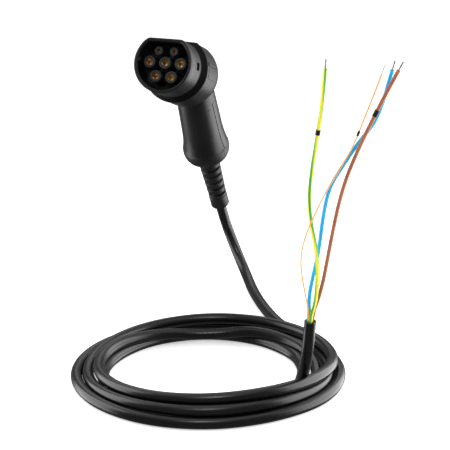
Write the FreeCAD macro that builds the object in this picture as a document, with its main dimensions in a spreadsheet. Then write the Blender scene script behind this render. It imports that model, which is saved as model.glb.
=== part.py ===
import FreeCAD
import Part
import Sketcher
import math
import os
from types import SimpleNamespace

# Charging cable for an electric car, single phase: a coupler with an angled grip stands up on its
# stiff cable, the cable lies in a loose coil, and its cut end shows four cores fanning upwards.
# Frame: millimetres, +Z up, floor at z = 0, origin at the middle of the coil on the floor.
# The coupler's mid plane is parallel to YZ, and its mouth looks towards -Y and up.
# Plug frame: X right, Y from the mouth into the coupler, Z up in the face, origin in the mouth.
# Grip frame: Z along the grip, pointing up into the head, origin where grip and coupler axes meet.

SIZES = {
    # mating face
    "shroud_radius": 31.5,
    "shroud_flat": 25.4,
    "shroud_corner": 8.0,
    "shroud_wall": 3.6,
    "lip_depth": 4.4,
    "lip_bevel": 1.1,
    "groove_width": 1.2,
    "groove_depth": 0.9,
    "barrel_step": 0.4,
    "barrel_length": 33.0,
    "mouth_depth": 29.0,
    "seat_ledge": 1.6,
    # flare and flange behind the nose
    "flare_start": 28.0,
    "flare_root": 1.4,
    "flare_radius": 17.0,
    "flange_front": 41.0,
    "flange_step": 0.9,
    "flange_thickness": 2.6,
    "spigot_length": 14.0,
    # recess for the lock bolt and drain notch
    "lock_width": 8.0,
    "lock_length": 8.0,
    "lock_depth": 3.0,
    "lock_start": 19.0,
    "lock_height": 2.0,
    "notch_width": 6.0,
    "notch_length": 2.4,
    "notch_depth": 1.2,
    # contacts and their towers
    "contact_spacing": 17.0,
    "middle_row": 1.2,
    "lower_drop": 14.5,
    "upper_rise": 12.1,
    "pilot_spacing": 16.6,
    "tower_front": 7.0,
    "power_tower_radius": 6.4,
    "pilot_tower_radius": 4.6,
    "tower_bevel": 0.7,
    "carrier_thickness": 6.0,
    "power_bore": 3.0,
    "pilot_bore": 1.5,
    "power_sleeve": 4.0,
    "pilot_sleeve": 2.5,
    "contact_recess": 2.0,
    "contact_bore_depth": 19.0,
    "contact_collar": 1.1,
    "collar_length": 2.0,
    "tail_step": 0.6,
    "tail_length": 14.0,
    "crimp_depth": 8.0,
    "crimp_wall": 1.1,
    "retainer_thickness": 3.5,
    "screw_radius": 1.4,
    "screw_length": 8.0,
    "screw_head_radius": 2.6,
    "screw_head_height": 2.0,
    "screw_circle": 24.2,
    "screw_angle": 27.0,
    "screw_edge": 0.4,
    "screw_tip_room": 0.3,
    # head and grip
    "head_step": 3.0,
    "head_flat_step": 4.1,
    "dome_centre": 74.0,
    "housing_wall": 3.2,
    "handle_reach": 94.0,
    "handle_bend": 41.2,
    "grip_top": 13.0,
    "grip_top_width": 20.0,
    "grip_top_depth": 19.5,
    "grip_middle": 50.0,
    "grip_middle_width": 21.6,
    "grip_middle_depth": 22.6,
    "grip_length": 94.0,
    "grip_end_width": 23.0,
    "grip_end_depth": 23.8,
    "cover_start": 30.0,
    "cover_plane": 5.6,
    "seam_gap": 0.2,
    # end boot of the grip
    "boot_radius": 25.8,
    "boot_length": 32.0,
    "boot_cove": 5.0,
    "boot_band": 6.5,
    "boot_end_radius": 15.0,
    "boot_end_curve": 23.8,
    "boot_spigot": 10.0,
    "boot_clearance": 0.9,
    "boot_bore": 10.0,
    # strain relief
    "relief_length": 60.0,
    "relief_lean": 2.7,
    "relief_stand_off": 0.8,
    "relief_overlap": 4.0,
    "relief_bore_gap": 0.25,
    "relief_top_radius": 12.0,
    "relief_end_radius": 9.4,
    "relief_rib_start": 4.0,
    "relief_collar_length": 8.6,
    "relief_slot": 2.6,
    "relief_slot_depth": 2.3,
    "relief_collar": 0.7,
    "relief_flange_radius": 14.0,
    "relief_flange": 4.0,
    # cable
    "cable_diameter": 11.5,
    "core_diameter": 3.7,
    "pilot_core_diameter": 1.4,
    "core_circle": 2.2,
    "stripped_diameter": 2.1,
    "stripped_length": 9.0,
    "marker_length": 7.5,
    "marker_wall": 0.45,
    "clamp_radius": 11.5,
    "clamp_length": 8.0,
    "clamp_slot": 2.0,
    "entry_inside": 28.0,
    # cores inside the grip
    "lead_straight": 14.0,
    "lead_turn": 20.0,
    "lead_arch": 44.0,
    "lead_drop": 6.0,
    # coil
    "coil_outer_turn": 131.5,
    "coil_layer_angle": 30.0,
    "coil_lean_angle": 20.0,
    # fits
    "fit_gap": 0.2,
    "bore_gap": 0.1,
    "cut_margin": 1.0,
    # stand of the coupler over the coil
    "mouth_x": -90.0,
    "mouth_y": 117.0,
    "mouth_z": 289.0,
    "mouth_pitch": 21.8,
}

RIB_COUNT = 6
CORNER_SHARE = 0.6


class Size:
    """A number together with the formula that binds a sketch or a solid to the size sheet."""

    def __init__(self, value, formula):
        self.value = float(value)
        self.formula = formula

    def join(self, other, sign, value):
        right = other if isinstance(other, Size) else Size(other, repr(float(other)))
        return Size(value(self.value, right.value), "(%s %s %s)" % (self.formula, sign, right.formula))

    def __add__(self, other):
        return self.join(other, "+", lambda a, b: a + b)

    def __sub__(self, other):
        return self.join(other, "-", lambda a, b: a - b)

    def __mul__(self, other):
        return self.join(other, "*", lambda a, b: a * b)

    def __truediv__(self, other):
        return self.join(other, "/", lambda a, b: a / b)

    def __neg__(self):
        return Size(-self.value, "(0 - %s)" % self.formula)


def root(amount):
    """Square root of a size."""
    return Size(math.sqrt(amount.value), "sqrt(%s)" % amount.formula)


def sine(angle):
    """Sine of an angle in degrees."""
    return Size(math.sin(math.radians(angle.value)), "sin(%s * 1 deg)" % angle.formula)


def cosine(angle):
    """Cosine of an angle in degrees."""
    return Size(math.cos(math.radians(angle.value)), "cos(%s * 1 deg)" % angle.formula)


ZERO = Size(0, "0")
doc = FreeCAD.newDocument("charging_cable")
sheet = doc.addObject("Spreadsheet::Sheet", "Sizes")
for row, (alias, number) in enumerate(SIZES.items(), start=1):
    sheet.set("A%d" % row, alias)
    sheet.set("B%d" % row, str(number))
    sheet.setAlias("B%d" % row, alias)
doc.recompute()
size = SimpleNamespace(**{alias: Size(sheet.get(alias), "Sizes." + alias) for alias in SIZES})
pieces = {}


def keep(piece, label, frame=None):
    """Name a finished sub-part and set it in its frame."""
    piece.Label = label
    if frame is not None:
        piece.Placement = frame
    pieces[label] = piece
    return piece


def new_body(label):
    """Start a body."""
    return doc.addObject("PartDesign::Body", "body_" + label)


def origin_plane(body, role):
    """One of a body's own origin planes."""
    return next(part for part in body.Origin.OriginFeatures if part.Role == role)


def new_sketch(body, name, role="XZ_Plane", along=None, frame=None):
    """A sketch on an origin plane. along is its place on Y for XZ sketches, frame a free offset."""
    sketch = body.newObject("Sketcher::SketchObject", body.Name + "_" + name)
    sketch.AttachmentSupport = [(origin_plane(body, role), "")]
    sketch.MapMode = "FlatFace"
    if frame is not None:
        sketch.AttachmentOffset = frame
    if along is not None:
        sketch.setExpression("AttachmentOffset.Base.z", (-along).formula)
    return sketch


def pin_point(sketch, geometry, point, across, upward):
    """Bind a sketch point to two sizes."""
    for amount, kind, axis in ((across, "DistanceX", -2), (upward, "DistanceY", -1)):
        if abs(amount.value) < 1e-9:
            sketch.addConstraint(Sketcher.Constraint("PointOnObject", geometry, point, axis))
            continue
        rule = sketch.addConstraint(Sketcher.Constraint(kind, -1, 1, geometry, point, amount.value))
        sketch.setExpression("Constraints[%d]" % rule, amount.formula)


def pin_radius(sketch, geometry, radius):
    """Bind the radius of a circle or an arc."""
    rule = sketch.addConstraint(Sketcher.Constraint("Radius", geometry, radius.value))
    sketch.setExpression("Constraints[%d]" % rule, radius.formula)


def bulge(radius, turn, large=False):
    """An arc segment of an outline: its radius, and whether it runs anticlockwise (+1) or not."""
    return radius, turn, large


def arc_centre(start, finish, radius, turn, large):
    """Centre of an arc from start to finish."""
    chord = finish - start
    middle = (start + finish) * 0.5
    side = FreeCAD.Vector(-chord.y, chord.x, 0).normalize()
    height = math.sqrt(max(radius ** 2 - (chord.Length / 2) ** 2, 0.0))
    if large:
        height = -height
    return middle + side * height * turn


def draw_outline(sketch, points, arcs=None):
    """Close an outline through points, each bound to two sizes. arcs maps a segment to a bulge."""
    arcs = arcs or {}
    segments = []
    places = [FreeCAD.Vector(across.value, upward.value, 0) for across, upward in points]
    for index, start in enumerate(places):
        finish = places[(index + 1) % len(places)]
        if index not in arcs:
            line = sketch.addGeometry(Part.LineSegment(start, finish), False)
            segments.append((line, 1, 2))
            continue
        radius, turn, large = arcs[index]
        centre = arc_centre(start, finish, radius.value, turn, large)
        ring = Part.Circle(centre, FreeCAD.Vector(0, 0, 1), radius.value)
        first, last = (start, finish) if turn > 0 else (finish, start)
        begin = ring.parameter(first)
        end = ring.parameter(last)
        if end <= begin:
            end += 2 * math.pi
        arc = sketch.addGeometry(Part.ArcOfCircle(ring, begin, end), False)
        segments.append((arc, 1, 2) if turn > 0 else (arc, 2, 1))
    for index, (geometry, begin, _) in enumerate(segments):
        before, _, finish = segments[index - 1]
        sketch.addConstraint(Sketcher.Constraint("Coincident", before, finish, geometry, begin))
    for (geometry, begin, _), (across, upward) in zip(segments, points):
        pin_point(sketch, geometry, begin, across, upward)
    for index, (radius, _, _) in arcs.items():
        pin_radius(sketch, segments[index][0], radius)


def draw_circles(sketch, circles):
    """Circles, each given as two places and a radius."""
    for across, upward, radius in circles:
        spot = FreeCAD.Vector(across.value, upward.value, 0)
        ring = Part.Circle(spot, FreeCAD.Vector(0, 0, 1), radius.value)
        geometry = sketch.addGeometry(ring, False)
        pin_point(sketch, geometry, 3, across, upward)
        pin_radius(sketch, geometry, radius)


def draw_face_outline(sketch, inset):
    """The mating face: a circle with a flat top and rounded corners, drawn in by inset."""
    radius = size.shroud_radius - inset
    flat = size.shroud_flat - inset
    corner = size.shroud_corner - inset * CORNER_SHARE
    across = root((radius - corner) * (radius - corner) - (flat - corner) * (flat - corner))
    reach = across * radius / (radius - corner)
    drop = (flat - corner) * radius / (radius - corner)
    points = [(-across, flat), (across, flat), (reach, drop), (-reach, drop)]
    arcs = {1: bulge(corner, -1), 2: bulge(radius, -1, True), 3: bulge(corner, -1)}
    draw_outline(sketch, points, arcs)


def draw_ellipse(sketch, width, depth):
    """An upright ellipse with half width across and half depth upward, round the origin."""
    tall = depth.value >= width.value
    major = FreeCAD.Vector(0, depth.value, 0) if tall else FreeCAD.Vector(width.value, 0, 0)
    minor = FreeCAD.Vector(width.value, 0, 0) if tall else FreeCAD.Vector(0, depth.value, 0)
    oval = sketch.addGeometry(Part.Ellipse(major, minor, FreeCAD.Vector(0, 0, 0)), False)
    sketch.exposeInternalGeometry(oval)
    sketch.addConstraint(Sketcher.Constraint("Coincident", oval, 3, -1, 1))
    long_axis = oval + 1
    short_axis = oval + 2
    sketch.addConstraint(Sketcher.Constraint("Vertical" if tall else "Horizontal", long_axis))
    lengths = ((long_axis, depth if tall else width), (short_axis, width if tall else depth))
    for axis, half in lengths:
        full = half * 2
        rule = sketch.addConstraint(Sketcher.Constraint("Distance", axis, full.value))
        sketch.setExpression("Constraints[%d]" % rule, full.formula)


def extrude(body, kind, name, sketch, length, backwards):
    """A pad or a pocket of a bound length."""
    feature = body.newObject("PartDesign::" + kind, body.Name + "_" + name)
    feature.Profile = sketch
    feature.setExpression("Length", length.formula)
    feature.Reversed = backwards
    sketch.Visibility = False
    return feature


def turn_profile(body, kind, name, sketch):
    """Turn a sketch once round its upright axis, to add (Revolution) or to cut (Groove)."""
    feature = body.newObject("PartDesign::" + kind, body.Name + "_" + name)
    feature.Profile = sketch
    feature.ReferenceAxis = (sketch, ["V_Axis"])
    feature.Angle = 360.0
    return feature


def chamfer_edges(body, name, feature, length, chosen):
    """Chamfer those edges of a feature that chosen accepts."""
    doc.recompute()
    edges = [
        "Edge%d" % (index + 1)
        for index, edge in enumerate(feature.Shape.Edges)
        if chosen(edge)
    ]
    bevel = body.newObject("PartDesign::Chamfer", body.Name + "_" + name)
    bevel.Base = (feature, edges)
    bevel.setExpression("Size", length.formula)
    return bevel


def at_depth(edge, place):
    """Whether an edge lies wholly in the plane y = place."""
    box = edge.BoundBox
    return abs(box.YMin - place.value) < 1e-4 and abs(box.YMax - place.value) < 1e-4


def cylinder(name, radius, height, frame=None):
    """A round bar along Z."""
    bar = doc.addObject("Part::Cylinder", name)
    bar.setExpression("Radius", radius.formula)
    bar.setExpression("Height", height.formula)
    if frame is not None:
        bar.Placement = frame
    return bar


def box(name, lengths, corner, frame=None):
    """A block with bound lengths and corner, in a frame."""
    block = doc.addObject("Part::Box", name)
    for prop, amount in zip(("Length", "Width", "Height"), lengths):
        block.setExpression(prop, amount.formula)
    spot = FreeCAD.Vector(*[amount.value for amount in corner])
    if frame is None:
        for axis, amount in zip("xyz", corner):
            block.setExpression("Placement.Base." + axis, amount.formula)
    else:
        block.Placement = frame * FreeCAD.Placement(spot, FreeCAD.Rotation())
    return block


def cut(name, base, tool):
    """Base less tool."""
    result = doc.addObject("Part::Cut", name)
    result.Base = base
    result.Tool = tool
    return result


X_AXIS = FreeCAD.Vector(1, 0, 0)
plug_frame = FreeCAD.Placement(
    FreeCAD.Vector(size.mouth_x.value, size.mouth_y.value, size.mouth_z.value),
    FreeCAD.Rotation(X_AXIS, -size.mouth_pitch.value),
)
grip_in_plug = FreeCAD.Placement(
    FreeCAD.Vector(0, size.handle_reach.value, 0),
    FreeCAD.Rotation(X_AXIS, 90.0 - size.handle_bend.value),
)
grip_frame = plug_frame * grip_in_plug
# The strain relief leans a little to one side of the grip; its frame starts at the grip's end.
relief_in_grip = FreeCAD.Placement(
    FreeCAD.Vector(0, 0, -(size.grip_length + size.boot_length).value),
    FreeCAD.Rotation(FreeCAD.Vector(0, 1, 0), -size.relief_lean.value),
)
# A frame whose Z runs along the plug's Y, for round bars along the coupler's axis.
axis_in_plug = FreeCAD.Placement(FreeCAD.Vector(), FreeCAD.Rotation(X_AXIS, -90.0))

# Places that several pieces share.
head_radius = size.shroud_radius + size.head_step
head_flat = size.shroud_flat + size.head_flat_step
head_bore = head_radius - size.housing_wall
spigot_radius = head_bore - size.bore_gap
flange_back = size.flange_front + size.flange_thickness
spigot_end = flange_back + size.spigot_length
carrier_back = size.mouth_depth + size.carrier_thickness
retainer_back = carrier_back + size.retainer_thickness
carrier_inset = size.shroud_wall - size.seat_ledge
cable_radius = size.cable_diameter / 2
half = size.contact_spacing / 2
upper_row = size.middle_row + size.upper_rise
lower_row = size.middle_row - size.lower_drop
CONTACTS = {
    "contact_pe": (ZERO, size.middle_row, True),
    "contact_n": (-size.contact_spacing, size.middle_row, True),
    "contact_l1": (size.contact_spacing, size.middle_row, True),
    "contact_l2": (half, lower_row, True),
    "contact_l3": (-half, lower_row, True),
    "contact_cp": (-size.pilot_spacing / 2, upper_row, False),
    "contact_pp": (size.pilot_spacing / 2, upper_row, False),
}


def contact_sizes(power):
    """Bore, sleeve and tower radius of a power or a pilot contact."""
    if power:
        return size.power_bore, size.power_sleeve, size.power_tower_radius
    return size.pilot_bore, size.pilot_sleeve, size.pilot_tower_radius


def screw_places():
    """The three screws behind the contact carrier: one at the top, one low at each side."""
    across = size.screw_circle * cosine(size.screw_angle)
    low = -(size.screw_circle * sine(size.screw_angle))
    top = size.shroud_flat - size.shroud_wall - size.screw_head_radius - size.screw_edge
    return [(ZERO, top), (across, low), (-across, low)]


def level_off(name, form, front, back, height):
    """A form of the plug frame with its top cut flat at a height, between two places along Y."""
    reach = head_radius * 2
    above = box(
        name + "_space",
        (reach * 2, back - front + size.cut_margin, reach),
        (-reach, front, height),
    )
    return cut(name, form, above)


def build_nose():
    """The nose: lip, groove, barrel, flare, flange and the spigot that enters the head."""
    body = new_body("nose")
    lip = new_sketch(body, "lip_outline")
    draw_face_outline(lip, ZERO)
    extrude(body, "Pad", "lip", lip, size.lip_depth, True)
    neck = new_sketch(body, "neck_outline")
    draw_face_outline(neck, size.groove_depth)
    extrude(body, "Pad", "neck", neck, size.barrel_length, True)
    barrel_start = size.lip_depth + size.groove_width
    barrel = new_sketch(body, "barrel_outline", along=barrel_start)
    draw_face_outline(barrel, size.barrel_step)
    extrude(body, "Pad", "barrel", barrel, size.barrel_length - barrel_start, True)
    flare = new_sketch(body, "flare_profile", "XY_Plane")
    start_radius = size.shroud_flat - size.flare_root
    flange_radius = head_radius + size.flange_step
    draw_outline(
        flare,
        [
            (ZERO, size.flare_start),
            (start_radius, size.flare_start),
            (flange_radius, size.flange_front),
            (flange_radius, flange_back),
            (spigot_radius, flange_back),
            (spigot_radius, spigot_end),
            (ZERO, spigot_end),
        ],
        {1: bulge(size.flare_radius, -1)},
    )
    turn_profile(body, "Revolution", "flare", flare)
    mouth = new_sketch(body, "mouth_outline")
    draw_face_outline(mouth, size.shroud_wall)
    extrude(body, "Pocket", "mouth", mouth, size.mouth_depth, False)
    seat = new_sketch(body, "seat_outline", along=size.mouth_depth)
    draw_face_outline(seat, carrier_inset)
    hollow = extrude(body, "Pocket", "seat", seat, spigot_end - size.mouth_depth, False)
    chamfer_edges(body, "lip_bevel", hollow, size.lip_bevel, lambda edge: at_depth(edge, ZERO))
    lock = box(
        "lock_recess",
        (size.lock_depth * 2, size.lock_length, size.lock_width),
        (size.shroud_radius - size.barrel_step - size.lock_depth, size.lock_start,
         size.lock_height - size.lock_width / 2),
    )
    notch = box(
        "drain_notch",
        (size.notch_width, size.notch_length, size.notch_depth * 2),
        (-size.notch_width / 2, barrel_start, -(size.shroud_radius + size.notch_depth)
         + size.barrel_step),
    )
    with_lock = cut("nose_with_lock", body, lock)
    with_notch = cut("nose_with_notch", with_lock, notch)
    flat_flange = level_off("nose_flat", with_notch, size.flare_start, spigot_end, head_flat)
    spigot_flat = head_flat - size.housing_wall - size.bore_gap
    return keep(level_off("nose", flat_flange, flange_back, spigot_end, spigot_flat),
                "nose_shell", plug_frame)


def build_carrier():
    """The contact carrier: a base plate with seven towers, bored for the contacts."""
    body = new_body("carrier")
    base = new_sketch(body, "base_outline", along=size.mouth_depth)
    draw_face_outline(base, carrier_inset + size.fit_gap)
    extrude(body, "Pad", "base", base, size.carrier_thickness, True)
    towers = new_sketch(body, "tower_circles", along=size.mouth_depth)
    spots = [(x, z, contact_sizes(power)[2]) for x, z, power in CONTACTS.values()]
    draw_circles(towers, spots)
    extrude(body, "Pad", "towers", towers, size.mouth_depth - size.tower_front, False)
    bores = new_sketch(body, "bore_circles", along=size.tower_front)
    draw_circles(bores, [(x, z, contact_sizes(power)[1] + size.bore_gap)
                         for x, z, power in CONTACTS.values()])
    extrude(body, "Pocket", "bores", bores, carrier_back - size.tower_front, False)
    seats = new_sketch(body, "collar_seats", along=carrier_back)
    draw_circles(seats, [(x, z, contact_sizes(power)[1] + size.contact_collar + size.bore_gap)
                         for x, z, power in CONTACTS.values()])
    extrude(body, "Pocket", "seats", seats, size.collar_length, True)
    holes = new_sketch(body, "screw_holes", along=carrier_back)
    draw_circles(holes, [(x, z, size.screw_radius) for x, z in screw_places()])
    holed = extrude(body, "Pocket", "screw_holes_cut", holes,
                    size.screw_length - size.retainer_thickness + size.screw_tip_room, True)
    chamfer_edges(body, "tower_bevel", holed, size.tower_bevel,
                  lambda edge: at_depth(edge, size.tower_front))
    return keep(body, "contact_carrier", plug_frame)


def build_contact(label, across, upward, power):
    """A turned socket contact: sleeve, collar and crimp tail."""
    bore, sleeve, _ = contact_sizes(power)
    front = size.tower_front + size.contact_recess
    collar = sleeve + size.contact_collar
    tail = sleeve - size.tail_step
    tail_end = carrier_back + size.tail_length
    crimp = tail - size.crimp_wall
    body = new_body(label)
    profile = new_sketch(body, "profile", "XY_Plane")
    draw_outline(profile, [
        (bore, front),
        (sleeve, front),
        (sleeve, carrier_back - size.collar_length),
        (collar, carrier_back - size.collar_length),
        (collar, carrier_back),
        (tail, carrier_back),
        (tail, tail_end),
        (crimp, tail_end),
        (crimp, tail_end - size.crimp_depth),
        (ZERO, tail_end - size.crimp_depth),
        (ZERO, front + size.contact_bore_depth),
        (bore, front + size.contact_bore_depth),
    ])
    turn_profile(body, "Revolution", "turned", profile)
    spot = FreeCAD.Placement(FreeCAD.Vector(across.value, 0, upward.value), FreeCAD.Rotation())
    return keep(body, label, plug_frame * spot)


def build_retainer():
    """The plate that holds the contacts in the carrier."""
    body = new_body("retainer")
    plate = new_sketch(body, "plate_outline", along=carrier_back)
    draw_face_outline(plate, carrier_inset + size.fit_gap)
    extrude(body, "Pad", "plate", plate, size.retainer_thickness, True)
    holes = new_sketch(body, "tail_holes", along=carrier_back)
    circles = [(x, z, contact_sizes(power)[1] - size.tail_step + size.fit_gap)
               for x, z, power in CONTACTS.values()]
    circles += [(x, z, size.screw_radius + size.fit_gap) for x, z in screw_places()]
    draw_circles(holes, circles)
    extrude(body, "Pocket", "tail_holes_cut", holes, size.retainer_thickness, False)
    return keep(body, "contact_retainer", plug_frame)


def build_screws():
    """Three pan head screws that hold the retainer on the carrier."""
    screws = []
    for number, (across, upward) in enumerate(screw_places(), start=1):
        base = FreeCAD.Vector(across.value, retainer_back.value, upward.value)
        spot = FreeCAD.Placement(base, FreeCAD.Rotation()) * axis_in_plug
        head = cylinder("screw_head_%d" % number, size.screw_head_radius, size.screw_head_height, spot)
        down = FreeCAD.Placement(FreeCAD.Vector(0, 0, -size.screw_length.value), FreeCAD.Rotation())
        shank = cylinder("screw_shank_%d" % number, size.screw_radius, size.screw_length, spot * down)
        screw = doc.addObject("Part::Fuse", "screw_%d" % number)
        screw.Base = head
        screw.Tool = shank
        screws.append(screw)
    group = doc.addObject("Part::Compound", "retainer_screw_group")
    group.Links = screws
    return keep(group, "retainer_screws", plug_frame)


def grip_section(body, name, down, width, depth):
    """An oval section of the grip, down along it from where the axes meet."""
    lowered = FreeCAD.Placement(FreeCAD.Vector(0, 0, -down.value), FreeCAD.Rotation())
    sketch = new_sketch(body, name, "XY_Plane", frame=lowered)
    draw_ellipse(sketch, width, depth)
    return sketch


def build_grip_loft(label, inset):
    """The grip as a smooth loft through oval sections, all drawn in by inset."""
    body = new_body(label)
    stations = [
        ("top", -size.grip_top, size.grip_top_width, size.grip_top_depth),
        ("middle", size.grip_middle, size.grip_middle_width, size.grip_middle_depth),
        ("end", size.grip_length, size.grip_end_width, size.grip_end_depth),
    ]
    sections = [grip_section(body, name, down, width - inset, depth - inset)
                for name, down, width, depth in stations]
    feature = body.newObject("PartDesign::AdditiveLoft", body.Name + "_loft")
    feature.Profile = sections[0]
    feature.Sections = sections[1:]
    body.Placement = grip_in_plug
    return body


def build_head_form(label, radius, flat):
    """The head as a turned form with a flat top: a barrel that ends in a dome."""
    body = new_body(label)
    profile = new_sketch(body, "profile", "XY_Plane")
    draw_outline(
        profile,
        [
            (ZERO, flange_back),
            (radius, flange_back),
            (radius, size.dome_centre),
            (ZERO, size.dome_centre + radius),
        ],
        {2: bulge(radius, 1)},
    )
    turn_profile(body, "Revolution", "turned", profile)
    return level_off(label + "_levelled", body, size.flange_front, size.dome_centre + radius, flat)


def fuse(name, first, second):
    """First and second as one."""
    result = doc.addObject("Part::Fuse", name)
    result.Base = first
    result.Tool = second
    return result


def build_housing_form():
    """Head and grip as one hollow form, before it is divided into housing and rear cover."""
    head = build_head_form("head", head_radius, head_flat)
    grip = build_grip_loft("grip", ZERO)
    bore = build_head_form("head_bore", head_bore, head_flat - size.housing_wall)
    hollow = build_grip_loft("grip_hollow", size.housing_wall)
    outside = fuse("housing_outside", head, grip)
    inside = fuse("housing_inside", bore, hollow)
    return cut("housing_form", outside, inside)


def build_housing():
    """Main housing with the front of the grip, and the rear cover of the grip."""
    form = build_housing_form()
    reach = head_radius * 2
    tall = size.grip_length - size.cover_start
    low = -size.grip_length - size.cut_margin
    opening = box(
        "cover_space",
        (reach * 2, reach, tall + size.cut_margin),
        (-reach, -size.cover_plane, low),
        grip_in_plug,
    )
    cover_block = box(
        "cover_block",
        (reach * 2, reach, tall + size.cut_margin - size.seam_gap),
        (-reach, -size.cover_plane + size.seam_gap, low),
        grip_in_plug,
    )
    cover = doc.addObject("Part::Common", "rear_cover_form")
    cover.Base = form
    cover.Tool = cover_block
    keep(cover, "rear_cover", plug_frame)
    keep(cut("main_housing_form", form, opening), "main_housing", plug_frame)


def build_boot():
    """The rounded end piece of the grip, with its spigot inside the grip."""
    body = new_body("boot")
    end = -(size.grip_length + size.boot_length)
    band_top = -(size.grip_length + size.boot_cove)
    band_end = band_top - size.boot_band
    spigot = size.grip_end_width - size.housing_wall - size.boot_clearance
    profile = new_sketch(body, "profile", "XZ_Plane")
    draw_outline(
        profile,
        [
            (size.boot_bore, -size.grip_length + size.boot_spigot),
            (spigot, -size.grip_length + size.boot_spigot),
            (spigot, -size.grip_length),
            (size.grip_end_depth, -size.grip_length),
            (size.boot_radius, band_top),
            (size.boot_radius, band_end),
            (size.boot_end_radius, end),
            (size.boot_bore, end),
        ],
        {5: bulge(size.boot_end_curve, -1)},
    )
    turn_profile(body, "Revolution", "turned", profile)
    return keep(body, "end_boot", grip_frame)


def build_relief_neck():
    """The straight neck of the strain relief inside the boot, with the flange that holds it."""
    body = new_body("relief_neck")
    inside_end = -size.grip_length + size.boot_spigot
    neck = size.boot_bore - size.bore_gap
    neck_end = -(size.grip_length + size.boot_length) - size.relief_overlap
    bore = cable_radius + size.relief_bore_gap
    profile = new_sketch(body, "profile", "XZ_Plane")
    draw_outline(profile, [
        (bore, inside_end + size.relief_flange),
        (size.relief_flange_radius, inside_end + size.relief_flange),
        (size.relief_flange_radius, inside_end),
        (neck, inside_end),
        (neck, neck_end),
        (bore, neck_end),
    ])
    turn_profile(body, "Revolution", "turned", profile)
    return body


def build_relief_sleeve():
    """The tapered sleeve below the boot, with its slots and its end collar."""
    body = new_body("relief_sleeve")
    bore = cable_radius + size.relief_bore_gap
    top = -size.relief_stand_off
    end = -size.relief_length
    taper = (size.relief_top_radius - size.relief_end_radius) / size.relief_length
    collar_start = size.relief_length - size.relief_collar_length
    pitch = (collar_start - size.relief_rib_start) / Size(RIB_COUNT, str(RIB_COUNT))
    points = [(bore, top), (size.relief_top_radius, top)]
    for rib in range(RIB_COUNT):
        start = size.relief_rib_start + pitch * rib
        finish = start + size.relief_slot
        before = size.relief_top_radius - taper * start
        after = size.relief_top_radius - taper * finish
        points += [
            (before, -start),
            (before - size.relief_slot_depth, -start),
            (after - size.relief_slot_depth, -finish),
            (after, -finish),
        ]
    collar = size.relief_end_radius + size.relief_collar
    points += [
        (size.relief_top_radius - taper * collar_start, -collar_start),
        (collar, -collar_start),
        (collar, end),
        (bore, end),
    ]
    profile = new_sketch(body, "profile", "XZ_Plane")
    draw_outline(profile, points)
    turn_profile(body, "Revolution", "turned", profile)
    body.Placement = relief_in_grip
    return body


def build_strain_relief():
    """The ribbed sleeve that the cable leaves the grip through, in one piece with its neck."""
    return keep(fuse("relief", build_relief_neck(), build_relief_sleeve()), "strain_relief",
                grip_frame)


def build_cable_entry():
    """The cable inside the grip, and the split clamp ring that holds it."""
    bend = size.grip_length + size.boot_length
    inside = size.grip_length - size.boot_spigot - size.relief_flange - size.entry_inside
    lowered = FreeCAD.Placement(FreeCAD.Vector(0, 0, -bend.value), FreeCAD.Rotation())
    down = FreeCAD.Placement(FreeCAD.Vector(0, 0, -size.relief_length.value), FreeCAD.Rotation())
    upper = cylinder("entry_upper", cable_radius, bend - inside, lowered)
    lower = cylinder("entry_lower", cable_radius, size.relief_length, relief_in_grip * down)
    joint = doc.addObject("Part::Sphere", "entry_joint")
    joint.setExpression("Radius", cable_radius.formula)
    joint.Placement = lowered
    entry = fuse("entry", fuse("entry_bars", upper, lower), joint)
    keep(entry, "cable_entry", grip_frame)
    seat = -(size.grip_length - size.boot_spigot - size.relief_flange)
    raised = FreeCAD.Placement(FreeCAD.Vector(0, 0, seat.value), FreeCAD.Rotation())
    ring = cylinder("clamp_ring", size.clamp_radius, size.clamp_length, raised)
    hole = cylinder("clamp_hole", cable_radius, size.clamp_length, raised)
    slot = box(
        "clamp_gap",
        (size.clamp_slot, size.clamp_radius, size.clamp_length),
        (-size.clamp_slot / 2, ZERO, seat),
    )
    bored = cut("clamp_bored", ring, hole)
    keep(cut("clamp_split", bored, slot), "cable_clamp", grip_frame)


def tube_path(points):
    """Straight runs joined by arcs that are tangent to them, and the radii of the arcs."""
    edges = []
    radii = []
    last = points[0]
    for before, corner, after in zip(points, points[1:], points[2:]):
        inward = (corner - before).normalize()
        outward = (after - corner).normalize()
        turn = inward.getAngle(outward)
        shorter = min((corner - before).Length, (after - corner).Length)
        setback = 0.45 * shorter
        radius = setback / math.tan(turn / 2)
        start = corner - inward * setback
        finish = corner + outward * setback
        bisector = (outward - inward).normalize()
        centre = corner + bisector * (radius / math.cos(turn / 2))
        middle = centre - bisector * radius
        edges.append(Part.LineSegment(last, start).toShape())
        edges.append(Part.Arc(start, middle, finish).toShape())
        radii.append(radius)
        last = finish
    edges.append(Part.LineSegment(last, points[-1]).toShape())
    return Part.Wire(edges), radii


def sweep_tube(points, radius, label):
    """A round tube along a route. Prints its length, its smallest radius and its volume's error."""
    path, radii = tube_path(points)
    along = (points[1] - points[0]).normalize()
    section = Part.Wire([Part.Circle(points[0], along, radius).toShape()])
    tube = path.makePipeShell([section], True, True)
    expected = math.pi * radius ** 2 * path.Length
    error = tube.Volume / expected - 1.0
    print("%s length %.1f, smallest radius %.1f, volume error %.5f"
          % (label, path.Length, min(radii), error))
    return tube


def vectors(rows):
    """Route points as vectors."""
    return [FreeCAD.Vector(*row) for row in rows]


def keep_shape(shape, label):
    """Keep a finished shape as a sub-part in the part's own frame."""
    piece = doc.addObject("Part::Feature", label)
    piece.Shape = shape
    return keep(piece, label)


def in_grip(across, forward, upward):
    """A point of the grip frame in the part's frame."""
    return grip_frame.multVec(FreeCAD.Vector(across, forward, upward))


def in_plug(across, inward, upward):
    """A point of the plug frame in the part's frame."""
    return plug_frame.multVec(FreeCAD.Vector(across, inward, upward))


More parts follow.
